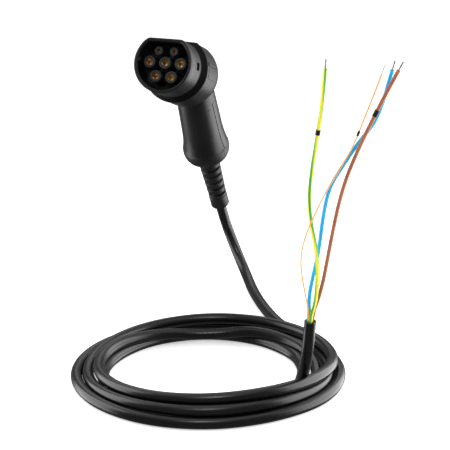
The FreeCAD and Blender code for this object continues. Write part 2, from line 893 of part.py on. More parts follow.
# The contact that each core inside the grip goes to, its angle in the cable's end, its distance
# from the middle as a share of the circle that the cores lie on, and its diameter.
LEADS = {
    "lead_brown": ("contact_l1", -30.0, 1.0, size.core_diameter),
    "lead_blue": ("contact_n", -150.0, 1.0, size.core_diameter),
    "lead_green_yellow": ("contact_pe", 90.0, 1.0, size.core_diameter),
    "lead_pilot": ("contact_cp", 150.0, 1.33, size.pilot_core_diameter),
}
# How far across and up the arch of a lead lies on its way, as shares of its contact's place.
LEAD_SPREAD = (0.4, 0.5)


def build_leads():
    """The cores inside the grip, from the cable's end to the crimp tails of the contacts."""
    sheath_top = -(size.grip_length - size.boot_spigot - size.relief_flange - size.entry_inside).value
    straight_top = sheath_top + size.lead_straight.value
    tail_end = (carrier_back + size.tail_length - size.crimp_depth).value
    arch = tail_end + size.lead_arch.value
    drop = size.lead_drop.value
    for label, (contact, angle, share, diameter) in LEADS.items():
        to_x, to_z = (place.value for place in CONTACTS[contact][:2])
        away = size.core_circle.value * share
        across = away * math.cos(math.radians(angle))
        forward = away * math.sin(math.radians(angle))
        points = [
            in_grip(across, forward, sheath_top),
            in_grip(across, forward, straight_top),
            in_plug(to_x * LEAD_SPREAD[0] + across, arch, to_z * LEAD_SPREAD[1] - drop),
            in_plug(to_x, tail_end + size.lead_turn.value, to_z),
            in_plug(to_x, tail_end, to_z),
        ]
        keep_shape(sweep_tube(points, diameter.value / 2, label), label)


# Route of the cable to the floor and on to the outer turn of the coil. Before its first point the
# cable runs straight out of the strain relief for FREE_RUN.
FREE_RUN = 25.0
RISE_ROUTE = [
    (-78.4, 302.3, 42.8),
    (-66.0, 295.1, 22.4),
    (-50.2, 279.0, 9.0),
    (-31.5, 252.5, 5.75),
    (-14.0, 212.5, 6.2),
    (6.0, 179.5, 5.75),
    (29.0, 149.0, 5.75),
    (58.0, 122.0, 5.75),
    (90.5, 101.5, 5.75),
]

# Route of the cut end: off the inner turn of the coil and up.
TAIL_ROUTE = [
    (69.1, 66.7, 5.75),
    (86.0, 43.8, 5.75),
    (92.7, 19.4, 5.75),
    (98.1, -6.7, 10.5),
    (104.7, -29.2, 25.8),
    (113.7, -49.4, 58.1),
    (120.6, -51.0, 92.0),
]

# Routes of the four cores above the cut end. Their first points are on the sheath's end face.
CORE_ROUTES = {
    "green_yellow": [
        (125.7, -51.8, 111.8),
        (127.9, -53.2, 138.3),
        (126.7, -54.5, 165.2),
        (120.9, -54.5, 189.0),
        (117.8, -52.5, 214.2),
        (119.6, -50.8, 238.9),
        (123.0, -49.6, 263.7),
        (126.5, -48.5, 290.2),
        (128.6, -47.8, 313.5),
        (130.1, -47.2, 336.5),
    ],
    "orange": [
        (119.5, -57.1, 109.9),
        (116.0, -59.3, 130.1),
        (113.0, -61.4, 152.1),
        (115.6, -61.6, 173.0),
        (122.3, -60.2, 192.8),
        (133.4, -54.1, 220.2),
        (147.4, -48.7, 246.5),
        (156.7, -42.3, 264.7),
        (164.3, -36.0, 289.1),
        (173.1, -30.8, 315.0),
        (177.9, -28.1, 330.6),
    ],
    "blue": [
        (118.3, -48.8, 117.0),
        (121.9, -46.9, 139.0),
        (126.4, -45.3, 162.3),
        (129.6, -46.3, 193.2),
        (135.5, -47.4, 224.1),
        (146.8, -44.6, 244.6),
        (160.5, -35.7, 268.2),
        (170.8, -28.1, 281.3),
        (178.6, -24.3, 301.8),
        (182.1, -22.5, 317.7),
        (186.2, -21.7, 334.0),
    ],
    "brown": [
        (126.3, -45.2, 113.0),
        (130.2, -43.5, 130.0),
        (133.4, -43.1, 149.0),
        (136.8, -42.9, 169.8),
        (142.9, -43.5, 203.6),
        (150.1, -43.8, 232.1),
        (159.1, -41.2, 257.0),
        (168.3, -37.0, 279.8),
        (181.6, -30.9, 310.6),
        (193.1, -25.5, 334.9),
    ],
}

# Where each core leaves the sheath: its angle in the end face, and its distance from the middle
# as a share of the circle that the cores lie on. It first runs straight on for CORE_STRAIGHT.
CORE_STRAIGHT = 9.0
CORE_EXITS = {
    "green_yellow": (-70.0, 1.0),
    "orange": (-130.0, 1.3),
    "blue": (170.0, 1.0),
    "brown": (50.0, 1.0),
}

# Cores that carry a marker sleeve, on the second or on the third run from their upper end.
SLEEVE_NEAR_END = ("brown",)
SLEEVE_LOWER = ("green_yellow", "orange")


def coil_profile_points():
    """Outline of the stacked turns: four side by side on the floor and two above."""
    low = cable_radius
    outer = size.coil_outer_turn
    inner = outer - size.cable_diameter * 3
    upper = low + size.cable_diameter * cosine(size.coil_layer_angle)
    upper_outer = outer - low
    upper_inner = upper_outer - size.cable_diameter
    lean = low * cosine(size.coil_lean_angle)
    lift = low * sine(size.coil_lean_angle)
    return [
        (inner, ZERO),
        (outer, ZERO),
        (outer + lean, low + lift),
        (upper_outer + lean, upper + lift),
        (upper_outer, upper + low),
        (upper_inner, upper + low),
        (upper_inner - lean, upper + lift),
        (inner + lift, low + lean),
    ]


def build_coil():
    """The coil as one closed solid of its outer shape."""
    body = new_body("coil")
    profile = new_sketch(body, "profile", "XZ_Plane")
    low = cable_radius
    draw_outline(
        profile,
        coil_profile_points(),
        {1: bulge(low, 1), 3: bulge(low, 1), 5: bulge(low, 1), 7: bulge(low, 1, True)},
    )
    turn_profile(body, "Revolution", "turned", profile)
    return keep(body, "cable_coil")


def build_free_cable(coil):
    """The tubes of the cable outside the coil: the rise to the coupler and the cut end."""
    relief_frame = grip_frame * relief_in_grip
    relief_end = size.relief_length.value
    leaving = [FreeCAD.Vector(0, 0, -relief_end), FreeCAD.Vector(0, 0, -relief_end - FREE_RUN)]
    rise = [relief_frame.multVec(point) for point in leaving] + vectors(RISE_ROUTE)
    radius = cable_radius.value
    tube = sweep_tube(rise, radius, "cable_rise").cut(coil.Shape)
    keep_shape(max(tube.Solids, key=lambda solid: solid.Volume), "cable_rise")
    tail = vectors(TAIL_ROUTE)
    tube = sweep_tube(tail, radius, "cable_tail").cut(coil.Shape)
    keep_shape(max(tube.Solids, key=lambda solid: solid.CenterOfMass.z), "cable_tail")
    return tail


def end_frame(points):
    """Frame at the end of a route, Z along it."""
    along = (points[-1] - points[-2]).normalize()
    return FreeCAD.Placement(points[-1], FreeCAD.Rotation(FreeCAD.Vector(0, 0, 1), along))


def build_core(name, tail_frame):
    """A core, its stripped end, and its marker sleeve if it has one."""
    diameter = size.pilot_core_diameter if name == "orange" else size.core_diameter
    radius = diameter.value / 2
    angle, share = CORE_EXITS[name]
    away = size.core_circle.value * share
    turned = math.radians(angle)
    start = FreeCAD.Vector(away * math.cos(turned), away * math.sin(turned), 0)
    leaving = [start, start + FreeCAD.Vector(0, 0, CORE_STRAIGHT)]
    points = [tail_frame.multVec(point) for point in leaving] + vectors(CORE_ROUTES[name])
    keep_shape(sweep_tube(points, radius, "core_" + name), "core_" + name)
    thin = min(size.stripped_diameter.value / 2, radius * 0.6)
    wire_end = Part.makeCylinder(thin, size.stripped_length.value)
    wire_end.Placement = end_frame(points)
    keep_shape(wire_end, "stripped_end_" + name)
    if name in SLEEVE_NEAR_END:
        build_marker(name, points[-3], points[-2], radius)
    elif name in SLEEVE_LOWER:
        build_marker(name, points[-4], points[-3], radius)


def build_marker(name, lower, upper, radius):
    """The marker sleeve in the middle of a run of a core."""
    along = (upper - lower).normalize()
    middle = (lower + upper) * 0.5
    length = size.marker_length.value
    outside = Part.makeCylinder(radius + size.bore_gap.value + size.marker_wall.value, length)
    inside = Part.makeCylinder(radius + size.bore_gap.value, length)
    sleeve = outside.cut(inside)
    spin = FreeCAD.Rotation(FreeCAD.Vector(0, 0, 1), along)
    sleeve.Placement = FreeCAD.Placement(middle - along * (length / 2), spin)
    keep_shape(sleeve, "marker_" + name)


def check_and_write():
    """Stop if anything failed, then write each sub-part to its own file."""
    for item in doc.Objects:
        if "Invalid" in item.State or "Error" in item.State:
            raise RuntimeError("%s did not build" % item.Name)
    os.makedirs("parts", exist_ok=True)
    for label, piece in pieces.items():
        shape = piece.Shape
        if shape.isNull() or not shape.isValid() or shape.Volume <= 0:
            raise RuntimeError("%s is not a valid solid" % label)
        shape.exportStep("parts/%s.step" % label)
        print("%-24s solids %d volume %.1f" % (label, len(shape.Solids), shape.Volume))


build_nose()
build_carrier()
for contact_label, (contact_x, contact_z, is_power) in CONTACTS.items():
    build_contact(contact_label, contact_x, contact_z, is_power)
build_retainer()
build_screws()
build_housing()
build_boot()
build_strain_relief()
build_cable_entry()
build_leads()
coil_body = build_coil()
doc.recompute()
tail_points = build_free_cable(coil_body)
for core_name in CORE_ROUTES:
    build_core(core_name, end_frame(tail_points))
doc.recompute()
check_and_write()
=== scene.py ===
import logging
import math
from dataclasses import dataclass, field
from enum import Enum
from typing import Callable, Iterable, Sequence

import bmesh
import bpy
from bmesh.types import BMesh
from mathutils import Matrix, Vector


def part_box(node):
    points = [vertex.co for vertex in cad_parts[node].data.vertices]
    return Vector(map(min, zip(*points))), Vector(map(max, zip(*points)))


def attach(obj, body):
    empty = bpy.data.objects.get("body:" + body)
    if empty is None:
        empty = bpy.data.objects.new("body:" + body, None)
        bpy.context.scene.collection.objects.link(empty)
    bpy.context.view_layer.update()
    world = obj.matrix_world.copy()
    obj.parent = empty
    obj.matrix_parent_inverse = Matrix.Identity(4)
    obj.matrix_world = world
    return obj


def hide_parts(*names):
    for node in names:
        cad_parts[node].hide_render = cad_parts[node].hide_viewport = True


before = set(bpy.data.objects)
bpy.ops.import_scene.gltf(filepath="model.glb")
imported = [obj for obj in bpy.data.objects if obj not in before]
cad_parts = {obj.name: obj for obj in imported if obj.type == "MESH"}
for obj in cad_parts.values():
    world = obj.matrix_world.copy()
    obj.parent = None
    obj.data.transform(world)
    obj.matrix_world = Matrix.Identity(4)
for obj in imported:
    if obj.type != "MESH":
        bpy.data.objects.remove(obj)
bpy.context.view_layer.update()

# Charging cable of an electric car, standing on its own cable beside its coil. Sizes of rigid
# pieces are in millimetres in the frame of the piece, routes of cables are in metres.

LOG = logging.getLogger("charging_cable")
BODY = "root"
MM = 0.001
TO_METRES = Matrix.Scale(MM, 4)
TO_MILLIMETRES = Matrix.Scale(1000.0, 4)
SAME_PLACE = Matrix.Identity(4)
Profile = Sequence[tuple[float, float]]
Block = tuple[tuple[float, float, float], tuple[float, float, float]]


def turned_frame(parent: Matrix, spot: tuple, angle: float, axis: str) -> Matrix:
    """Frame at a spot of its parent, turned by an angle in degrees round an axis."""
    return parent @ Matrix.Translation(spot) @ Matrix.Rotation(math.radians(angle), 4, axis)


# The coupler leans back, the grip bends down from its axis, and the relief leans a little aside.
FACE_PLACE = (-0.090, 0.117, 0.289)
COUPLER_TILT = -21.8
GRIP_START = 94.0
GRIP_BEND = 48.8
RELIEF_DROP = -126.0
RELIEF_LEAN = -2.7
PLUG = turned_frame(SAME_PLACE, FACE_PLACE, COUPLER_TILT, "X")
GRIP = turned_frame(PLUG, (0.0, GRIP_START * MM, 0.0), GRIP_BEND, "X")
RELIEF = turned_frame(GRIP, (0.0, 0.0, RELIEF_DROP * MM), RELIEF_LEAN, "Y")
GRIP_IN_PLUG_MM = turned_frame(SAME_PLACE, (0.0, GRIP_START, 0.0), GRIP_BEND, "X")
RELIEF_IN_GRIP_MM = turned_frame(SAME_PLACE, (0.0, 0.0, RELIEF_DROP), RELIEF_LEAN, "Y")

# Outline of the coupler's face: a circle with a flat top and two rounded corners.
FACE_RADIUS = 31.5
FACE_FLAT = 25.4
FACE_CORNER = 8.0
CORNER_PER_INSET = 0.6
# Runs of points round the right half of the face: first angle, gap in degrees and number.
FACE_RUNS = ((-90.0, 4.0, 34), (45.0, 1.2, 15), (64.0, 4.3, 6))


class Axis(Enum):
    """The axis that a turned piece goes round, in its own frame."""

    COUPLER = "Y"
    GRIP = "Z"


def linear(code: str) -> tuple[float, float, float, float]:
    """Turn an sRGB hex colour to linear.

    Args:
        code: Colour such as "#1a1a1c".

    Returns:
        Red, green, blue and alpha, linear.
    """
    channels = [int(code[start:start + 2], 16) / 255 for start in (1, 3, 5)]
    straight = [c / 12.92 if c <= 0.04045 else ((c + 0.055) / 1.055) ** 2.4 for c in channels]
    return straight[0], straight[1], straight[2], 1.0


def add_node(
    tree: bpy.types.NodeTree,
    kind: str,
    settings: dict | None = None,
    links: dict | None = None,
    stops: Sequence[tuple[float, tuple]] = (),
) -> bpy.types.Node:
    """Add a node with its settings and links.

    Args:
        tree: Node tree of the material.
        kind: Type of the node.
        settings: Values by name or number of a socket, or by name of a property.
        links: Output sockets by name or number of the input that they feed.
        stops: Places and colours of a colour ramp.

    Returns:
        The new node.
    """
    node = tree.nodes.new(kind)
    for key, value in (settings or {}).items():
        if isinstance(key, int) or key in node.inputs:
            node.inputs[key].default_value = value
        else:
            setattr(node, key, value)
    for key, source in (links or {}).items():
        tree.links.new(source, node.inputs[key])
    for index, (place, colour) in enumerate(stops):
        elements = node.color_ramp.elements
        element = elements[index] if index < len(elements) else elements.new(place)
        element.position = place
        element.color = colour
    return node


def new_tree(name: str) -> tuple[bpy.types.Material, bpy.types.NodeTree]:
    """Start a material with an empty node tree.

    Args:
        name: Name of the material.

    Returns:
        The material and its tree.
    """
    material = bpy.data.materials.new(name)
    material.use_nodes = True
    material.node_tree.nodes.clear()
    return material, material.node_tree


def show_surface(tree: bpy.types.NodeTree, settings: dict, links: dict) -> None:
    """Add the shader and show it as the material's surface.

    Args:
        tree: Node tree of the material.
        settings: Values on the shader's own sockets.
        links: Output sockets by name of the shader's input that they feed.
    """
    shader = add_node(tree, "ShaderNodeBsdfPrincipled", settings, links)
    add_node(tree, "ShaderNodeOutputMaterial", None, {"Surface": shader.outputs["BSDF"]})


@dataclass(frozen=True)
class Mottled:
    """What mouldings and metals share: two near shades and uneven gloss from one cloud."""

    name: str
    shade: str
    paler: str
    roughness: tuple[float, float]

    def start(self, size: float, detail: float, spread: tuple[float, float]) -> tuple:
        """Start the material with the cloud that steers its colour and its gloss.

        Args:
            size: Size of the cloud's patches in millimetres.
            detail: Detail of the cloud.
            spread: Where the cloud gives the first shade, and where the paler one.

        Returns:
            The material, its tree, the sockets of place and cloud, and the shader's links so far.
        """
        material, tree = new_tree(self.name)
        place = add_node(tree, "ShaderNodeTexCoord").outputs["Object"]
        cloud = add_node(tree, "ShaderNodeTexNoise", {"Scale": 1000 / size, "Detail": detail},
                         {"Vector": place}).outputs["Fac"]
        colour = add_node(tree, "ShaderNodeValToRGB", None, {"Fac": cloud},
                          [(spread[0], linear(self.shade)), (spread[1], linear(self.paler))])
        gloss = add_node(tree, "ShaderNodeMapRange",
                         {"From Min": 0.3, "From Max": 0.7, "To Min": self.roughness[0],
                          "To Max": self.roughness[1]}, {"Value": cloud})
        links = {"Base Color": colour.outputs["Color"], "Roughness": gloss.outputs["Result"]}
        return material, tree, place, cloud, links


@dataclass(frozen=True)
class MouldedPolymer(Mottled):
    """Injection moulded or extruded polymer with a fine grain. Sizes are in millimetres."""

    grain: float
    depth: float
    mottle: float = 30.0
    specular: float = 0.5

    def make(self) -> bpy.types.Material:
        """Build the material."""
        material, tree, place, _, links = self.start(self.mottle, 4.0, (0.38, 0.66))
        grain = add_node(tree, "ShaderNodeTexNoise", {"Scale": 1000 / self.grain, "Detail": 2.0},
                         {"Vector": place}).outputs["Fac"]
        bump = add_node(tree, "ShaderNodeBump", {"Strength": 0.6, "Distance": self.depth * MM},
                        {"Height": grain})
        links["Normal"] = bump.outputs["Normal"]
        show_surface(tree, {"IOR": 1.5, "Specular IOR Level": self.specular}, links)
        return material


@dataclass(frozen=True)
class StripedInsulation:
    """Extruded earth core: yellow with green stripes that wind slowly round it."""

    name: str = "pvc_green_yellow_extruded"
    yellow: str = "#f4e61e"
    green: str = "#48b440"
    stripes: float = 2.0
    winding: float = 45.0

    def make(self) -> bpy.types.Material:
        """Build the material. The stripes follow the cos, sin and length kept on each point."""
        material, tree = new_tree(self.name)
        lay = add_node(tree, "ShaderNodeAttribute", {"attribute_name": "lay"})
        parts = add_node(tree, "ShaderNodeSeparateXYZ", None, {"Vector": lay.outputs["Vector"]})
        turned = add_node(tree, "ShaderNodeMath", {"operation": "MULTIPLY", 1: self.winding},
                          {0: parts.outputs["Z"]})
        around = add_node(tree, "ShaderNodeMath", {"operation": "ARCTAN2"},
                          {0: parts.outputs["Y"], 1: parts.outputs["X"]})
        striped = add_node(tree, "ShaderNodeMath", {"operation": "MULTIPLY", 1: self.stripes},
                           {0: around.outputs[0]})
        total = add_node(tree, "ShaderNodeMath", {"operation": "ADD"},
                         {0: striped.outputs[0], 1: turned.outputs[0]})
        wave = add_node(tree, "ShaderNodeMath", {"operation": "SINE"}, {0: total.outputs[0]})
        share = add_node(tree, "ShaderNodeMapRange", {"From Min": -1.0, "From Max": 1.0},
                         {"Value": wave.outputs[0]})
        colour = add_node(tree, "ShaderNodeValToRGB", None, {"Fac": share.outputs["Result"]},
                          [(0.52, linear(self.yellow)), (0.56, linear(self.green))])
        place = add_node(tree, "ShaderNodeTexCoord").outputs["Object"]
        grain = add_node(tree, "ShaderNodeTexNoise", {"Scale": 1500.0}, {"Vector": place})
        bump = add_node(tree, "ShaderNodeBump", {"Strength": 0.3, "Distance": 0.00004},
                        {"Height": grain.outputs["Fac"]})
        show_surface(tree, {"IOR": 1.52, "Roughness": 0.38},
                     {"Base Color": colour.outputs["Color"], "Normal": bump.outputs["Normal"]})
        return material


@dataclass(frozen=True)
class TurnedMetal(Mottled):
    """Turned or drawn metal with a thin plating and fine tool marks, in millimetres."""

    marks: float

    def make(self) -> bpy.types.Material:
        """Build the material."""
        material, tree, _, cloud, links = self.start(self.marks, 3.0, (0.3, 0.7))
        bump = add_node(tree, "ShaderNodeBump", {"Strength": 0.4, "Distance": 0.00002},
                        {"Height": cloud})
        links["Normal"] = bump.outputs["Normal"]
        show_surface(tree, {"Metallic": 1.0}, links)
        return material


# Glass filled polyamide, moulded in a spark eroded tool: black with a dull, even sheen.
HOUSING_BLACK = MouldedPolymer("polyamide_black_moulded", "#070708", "#0c0c0d", (0.34, 0.42),
                               0.35, 0.03)
# Painted shade: a darker black without any shine, put on the cove behind the barrel and on a band
# round the end of the grip, where shade and dark reflections fall.
PAINTED_SHADE_BLACK = MouldedPolymer("polyamide_black_painted_shade", "#030303", "#060607", (0.55, 0.65),
                              0.35, 0.05, 30.0, 0.15)
# The same polyamide in the mouth, where the eroded grain is coarser and the black a little greyer.
CARRIER_BLACK = MouldedPolymer("polyamide_black_carrier", "#101012", "#1a1a1c", (0.40, 0.50),
                               0.3, 0.03)
# Thermoplastic elastomer moulded over the end of the grip: a softer, duller black.
BOOT_BLACK = MouldedPolymer("elastomer_black_moulded", "#09090a", "#0f0f10", (0.42, 0.52),
                            0.4, 0.03)
# Elastomer of the strain relief: dull, with a trace of grey where it has been handled.
RELIEF_BLACK = MouldedPolymer("elastomer_black_relief", "#08080a", "#0f0f11", (0.42, 0.52),
                              0.5, 0.04)
# Polyurethane sheath, extruded: smoother than the mouldings, so a thin highlight runs along it.
SHEATH_BLACK = MouldedPolymer("polyurethane_black_extruded", "#060607", "#0a0a0b", (0.24, 0.33),
                              1.2, 0.015, 45.0)
# Rubbery filler round the cores at the cut: matt and dark grey.
FILLER_GREY = MouldedPolymer("filler_grey_cut", "#1d1d1f", "#2a2a2c", (0.7, 0.8), 0.8, 0.1)
# Extruded insulation of the cores: clean colour with a soft gloss.
LEAD_YELLOW = MouldedPolymer("pvc_yellow_extruded", "#b9ad1e", "#cfc42a", (0.34, 0.42), 0.9, 0.02)
BROWN_CORE = MouldedPolymer("pvc_brown_extruded", "#a45a38", "#b56a47", (0.34, 0.42), 0.9, 0.02)
BLUE_CORE = MouldedPolymer("pvc_blue_extruded", "#06a8f2", "#12bafa", (0.34, 0.42), 0.9, 0.02)
ORANGE_CORE = MouldedPolymer("pvc_orange_extruded", "#fca030", "#ffb24c", (0.34, 0.42), 0.9, 0.02)
# Shrunk polyolefin sleeve: plain and black, with the dull gloss of film.
SLEEVE_BLACK = MouldedPolymer("polyolefin_sleeve_shrunk", "#0c0c0d", "#161617", (0.45, 0.55),
                              0.8, 0.03)
# Gold over nickel on turned brass: a warm colour, bright where the turned edge catches light.
CONTACT_GOLD = TurnedMetal("brass_gold_plated_turned", "#c69a5a", "#dfbd84", (0.26, 0.38), 1.5)
# Zinc plated steel screws: cool grey and slightly cloudy.
SCREW_ZINC = TurnedMetal("steel_zinc_plated", "#9aa0a6", "#b9bec3", (0.28, 0.4), 1.2)
# Tinned copper strands, twisted: pale grey metal with a soft shine.
TINNED_STRAND = TurnedMetal("copper_tinned_drawn", "#b8b4ab", "#dad7cf", (0.25, 0.38), 0.6)


def spin_profile(bm: BMesh, profile: Profile, axis: Axis, steps: int = 96,
                 centre: tuple[float, float] = (0.0, 0.0), closed: bool = True) -> None:
    """Turn a profile once round an axis.

    Args:
        bm: Mesh that receives the turned piece.
        profile: Radius and place along the axis, in millimetres.
        axis: The coupler's axis Y or the grip's axis Z.
        steps: Number of steps round.
        centre: Place of the axis across it.
        closed: Whether the last point joins the first.
    """
    across, upward = centre
    along_y = axis is Axis.COUPLER
    verts = []
    for radius, along in profile:
        spot = (across + radius, along, upward) if along_y else (across + radius, upward, along)
        verts.append(bm.verts.new(spot))
    pairs = list(zip(verts, verts[1:]))
    if closed:
        pairs.append((verts[-1], verts[0]))
    edges = [bm.edges.new(pair) for pair in pairs]
    middle = Vector((across, 0.0, upward)) if along_y else Vector((across, upward, 0.0))
    bmesh.ops.spin(bm, geom=verts + edges, cent=middle,
                   axis=Vector((0, 1, 0)) if along_y else Vector((0, 0, 1)),
                   angle=math.tau, steps=steps, use_merge=True, use_duplicate=False)


def full_turn(points: int) -> list[float]:
    """Even angles once round, in radians."""
    return [math.tau * step / points for step in range(points)]


def face_ring(angles: Sequence[float], reach: Iterable[float], along: float) -> list[Vector]:
    """A ring across the coupler's axis, from its distance to the axis at each angle."""
    return [Vector((r * math.cos(a), along, r * math.sin(a))) for a, r in zip(angles, reach)]


def oval_ring(width: float, depth: float, along: float, points: int) -> list[Vector]:
    """A ring across the grip's axis, from its half width and half depth."""
    return [Vector((width * math.cos(a), depth * math.sin(a), along)) for a in full_turn(points)]


def add_ring(bm: BMesh, places: Sequence[Vector]) -> list:
    """Add a closed ring of points.

    Args:
        bm: Mesh that receives the ring.
        places: Points in order round the ring.

    Returns:
        The points of the ring in order.
    """
    made = bmesh.ops.create_circle(bm, cap_ends=False, radius=1.0, segments=len(places))["verts"]
    for vert, spot in zip(made, places):
        vert.co = spot
    return made


def ring_edges(bm: BMesh, ring: Sequence) -> list:
    """The edges of a closed ring in order."""
    return [bm.edges.get(pair) for pair in zip(ring, [*ring[1:], ring[0]])]


def grow_ring(bm: BMesh, ring: Sequence, places: Sequence[Vector]) -> list:
    """Extrude a ring to new places.

    Args:
        bm: The mesh.
        ring: Points of the ring in order.
        places: Where they go to.

    Returns:
        The new points in the same order.
    """
    made = bmesh.ops.extrude_edge_only(bm, edges=ring_edges(bm, ring))["geom"]
    fresh = {item for item in made if isinstance(item, bmesh.types.BMVert)}
    grown = []
    for vert, spot in zip(ring, places):
        partner = next(edge.other_vert(vert) for edge in vert.link_edges
                       if edge.other_vert(vert) in fresh)
        partner.co = spot
        grown.append(partner)
    return grown


def cap_ring(bm: BMesh, ring: Sequence) -> None:
    """Fill a ring with one face."""
    bmesh.ops.contextual_create(bm, geom=ring_edges(bm, ring))


def skin(bm: BMesh, rings: Sequence[Sequence[Vector]], loop: bool = False,
         caps: bool = False) -> None:
    """Grow a surface from ring to ring.

    Args:
        bm: Mesh that receives the surface.
        rings: Rings with the same number of points each.
        loop: Whether the last ring joins the first, once doubles are merged.
        caps: Whether both ends are filled.
    """
    first = add_ring(bm, rings[0])
    ring = first
    for places in [*rings[1:], rings[0]] if loop else rings[1:]:
        ring = grow_ring(bm, ring, places)
    if caps:
        cap_ring(bm, first)
        cap_ring(bm, ring)


def link_object(name: str, data: bpy.types.ID) -> bpy.types.Object:
    """Make an object of a mesh, curve, lamp or camera and put it in the scene."""
    made = bpy.data.objects.new(name, data)
    bpy.context.scene.collection.objects.link(made)
    return made


def link_piece(name: str, mesh: bpy.types.Mesh, material: bpy.types.Material,
               sharp: float = 32.0) -> bpy.types.Object:
    """Make a piece of a finished mesh, smooth but for its sharp edges.

    Args:
        name: Name of the piece.
        mesh: Mesh with its place in its points.
        material: Finish of the piece.
        sharp: Angle in degrees from which an edge stays sharp.

    Returns:
        The piece, riding on the body.
    """
    mesh.name = name
    mesh.materials.clear()
    mesh.materials.append(material)
    mesh.shade_smooth()
    mesh.set_sharp_from_angle(angle=math.radians(sharp))
    piece = link_object(name, mesh)
    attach(piece, BODY)
    LOG.info("%s: %d faces", name, len(mesh.polygons))
    return piece


def close_mesh(bm: BMesh, place: Matrix = SAME_PLACE, clean: bool = True,
               merge: float = 1e-4) -> bpy.types.Mesh:
    """Merge doubles, turn the faces outwards, set the mesh in place and let go of the bmesh.

    Args:
        bm: The bmesh.
        place: Transform to the part's frame.
        clean: Whether doubles are merged and faces turned.
        merge: Distance of doubles in the bmesh's own unit.

    Returns:
        The finished mesh.
    """
    if clean:
        bmesh.ops.remove_doubles(bm, verts=bm.verts, dist=merge)
        bmesh.ops.recalc_face_normals(bm, faces=bm.faces)
    bmesh.ops.transform(bm, matrix=place, verts=bm.verts)
    mesh = bpy.data.meshes.new("mesh")
    bm.to_mesh(mesh)
    bm.free()
    return mesh


def open_in_millimetres(mesh: bpy.types.Mesh) -> BMesh:
    """Open a mesh that is in metres as a bmesh in millimetres."""
    bm = bmesh.new()
    bm.from_mesh(mesh)
    bmesh.ops.transform(bm, matrix=TO_MILLIMETRES, verts=bm.verts)
    return bm


def take_in(bm: BMesh, other: BMesh, place: Matrix) -> None:
    """Close a second bmesh, set it in place and take it into the first."""
    mesh = close_mesh(other, place)
    bm.from_mesh(mesh)
    bpy.data.meshes.remove(mesh)


def split_skin(bm: BMesh, at: Sequence[float], facing: Sequence[float], clear: bool = False,
               faces: Sequence | None = None) -> None:
    """Cut a skin along a plane.

    Args:
        bm: The skin.
        at: A point of the plane.
        facing: Normal of the plane.
        clear: Whether all on the side of the normal is removed.
        faces: The faces to cut, or None for all.
    """
    if faces is None:
        geom = bm.verts[:] + bm.edges[:] + bm.faces[:]
    else:
        edges = {edge: None for face in faces for edge in face.edges}
        verts = {vert: None for face in faces for vert in face.verts}
        geom = [*verts, *edges, *faces]
    bmesh.ops.bisect_plane(bm, geom=geom, dist=1e-5, plane_co=at, plane_no=facing,
                           clear_outer=clear, clear_inner=False)


def read_result(carrier: bpy.types.Object) -> bpy.types.Mesh:
    """Read the finished mesh of an object with modifiers or of a curve, and remove the object."""
    ready = carrier.evaluated_get(bpy.context.evaluated_depsgraph_get())
    result = bpy.data.meshes.new_from_object(ready)
    bpy.data.objects.remove(carrier)
    return result


def bake(mesh: bpy.types.Mesh, steps: Iterable[tuple[str, dict]]) -> bpy.types.Mesh:
    """Run modifiers on a mesh and return the result.

    Args:
        mesh: The mesh to work on, which is used up.
        steps: Types of modifiers with their settings.

    Returns:
        A new mesh with the modifiers applied.
    """
    carrier = link_object("bake", mesh)
    for number, (kind, settings) in enumerate(steps):
        modifier = carrier.modifiers.new(f"step_{number}", kind)
        for key, value in settings.items():
            setattr(modifier, key, value)
    result = read_result(carrier)
    bpy.data.meshes.remove(mesh)
    return result


def cut_blocks(mesh: bpy.types.Mesh, blocks: Sequence[Block]) -> bpy.types.Mesh:
    """Cut blocks out of a mesh.

    Args:
        mesh: Closed mesh in its own frame, in metres.
        blocks: Lowest and highest corner of each block, in millimetres.

    Returns:
        The mesh with the blocks cut out.
    """
    bm = bmesh.new()
    for corners in blocks:
        low, high = map(Vector, corners)
        grown = Matrix.Translation((low + high) / 2) @ Matrix.Diagonal((*(high - low), 1.0))
        bmesh.ops.create_cube(bm, size=1.0, matrix=grown)
    spare = close_mesh(bm, TO_METRES)
    tool = link_object("tool", spare)
    result = bake(mesh, [("BOOLEAN", {"operation": "DIFFERENCE", "object": tool,
                                      "solver": "EXACT"})])
    bpy.data.objects.remove(tool)
    bpy.data.meshes.remove(spare)
    return result


def level_reach(angle: float, radius: float, flat: float, corner: float) -> float:
    """Distance from the coupler's axis to a circle with a flat top and two rounded corners.

    Args:
        angle: Angle from the right, in radians.
        radius: Radius of the circle in millimetres.
        flat: Height of the flat over the axis.
        corner: Radius of the corners.

    Returns:
        The distance in millimetres.
    """
    if radius <= flat:
        return radius
    rise = math.asin(math.sin(angle))
    up = flat - corner
    out = math.sqrt((radius - corner) ** 2 - up ** 2)
    if rise < math.atan2(up, out):
        return radius
    if rise > math.atan2(flat, out):
        return flat / math.sin(rise)
    ahead = out * math.cos(rise) + up * math.sin(rise)
    return ahead + math.sqrt(ahead ** 2 - (out ** 2 + up ** 2 - corner ** 2))


def face_reach(angle: float, inset: float) -> float:
    """Distance from the coupler's axis to the outline of its face, drawn in by inset."""
    return level_reach(angle, FACE_RADIUS - inset, FACE_FLAT - inset,
                       FACE_CORNER - CORNER_PER_INSET * inset)


def face_angles() -> list[float]:
    """Angles of the points round the face, closer together at its two corners."""
    right = [start + gap * step for start, gap, count in FACE_RUNS for step in range(count)]
    whole = right + [90.0] + [180 - angle for angle in reversed(right[1:])]
    return [math.radians(angle) for angle in whole]


def centre_line(route: Sequence[Vector], resolution: int = 12) -> list[Vector]:
    """Read the line of a smooth curve through the control points of a route.

    Args:
        route: Control points in metres.
        resolution: Steps of the curve between two of them.

    Returns:
        Points along the curve.
    """
    curve = make_curve("line", route, resolution)
    mesh = read_result(link_object("line", curve))
    points = [vert.co.copy() for vert in mesh.vertices]
    bpy.data.meshes.remove(mesh)
    bpy.data.curves.remove(curve)
    return points


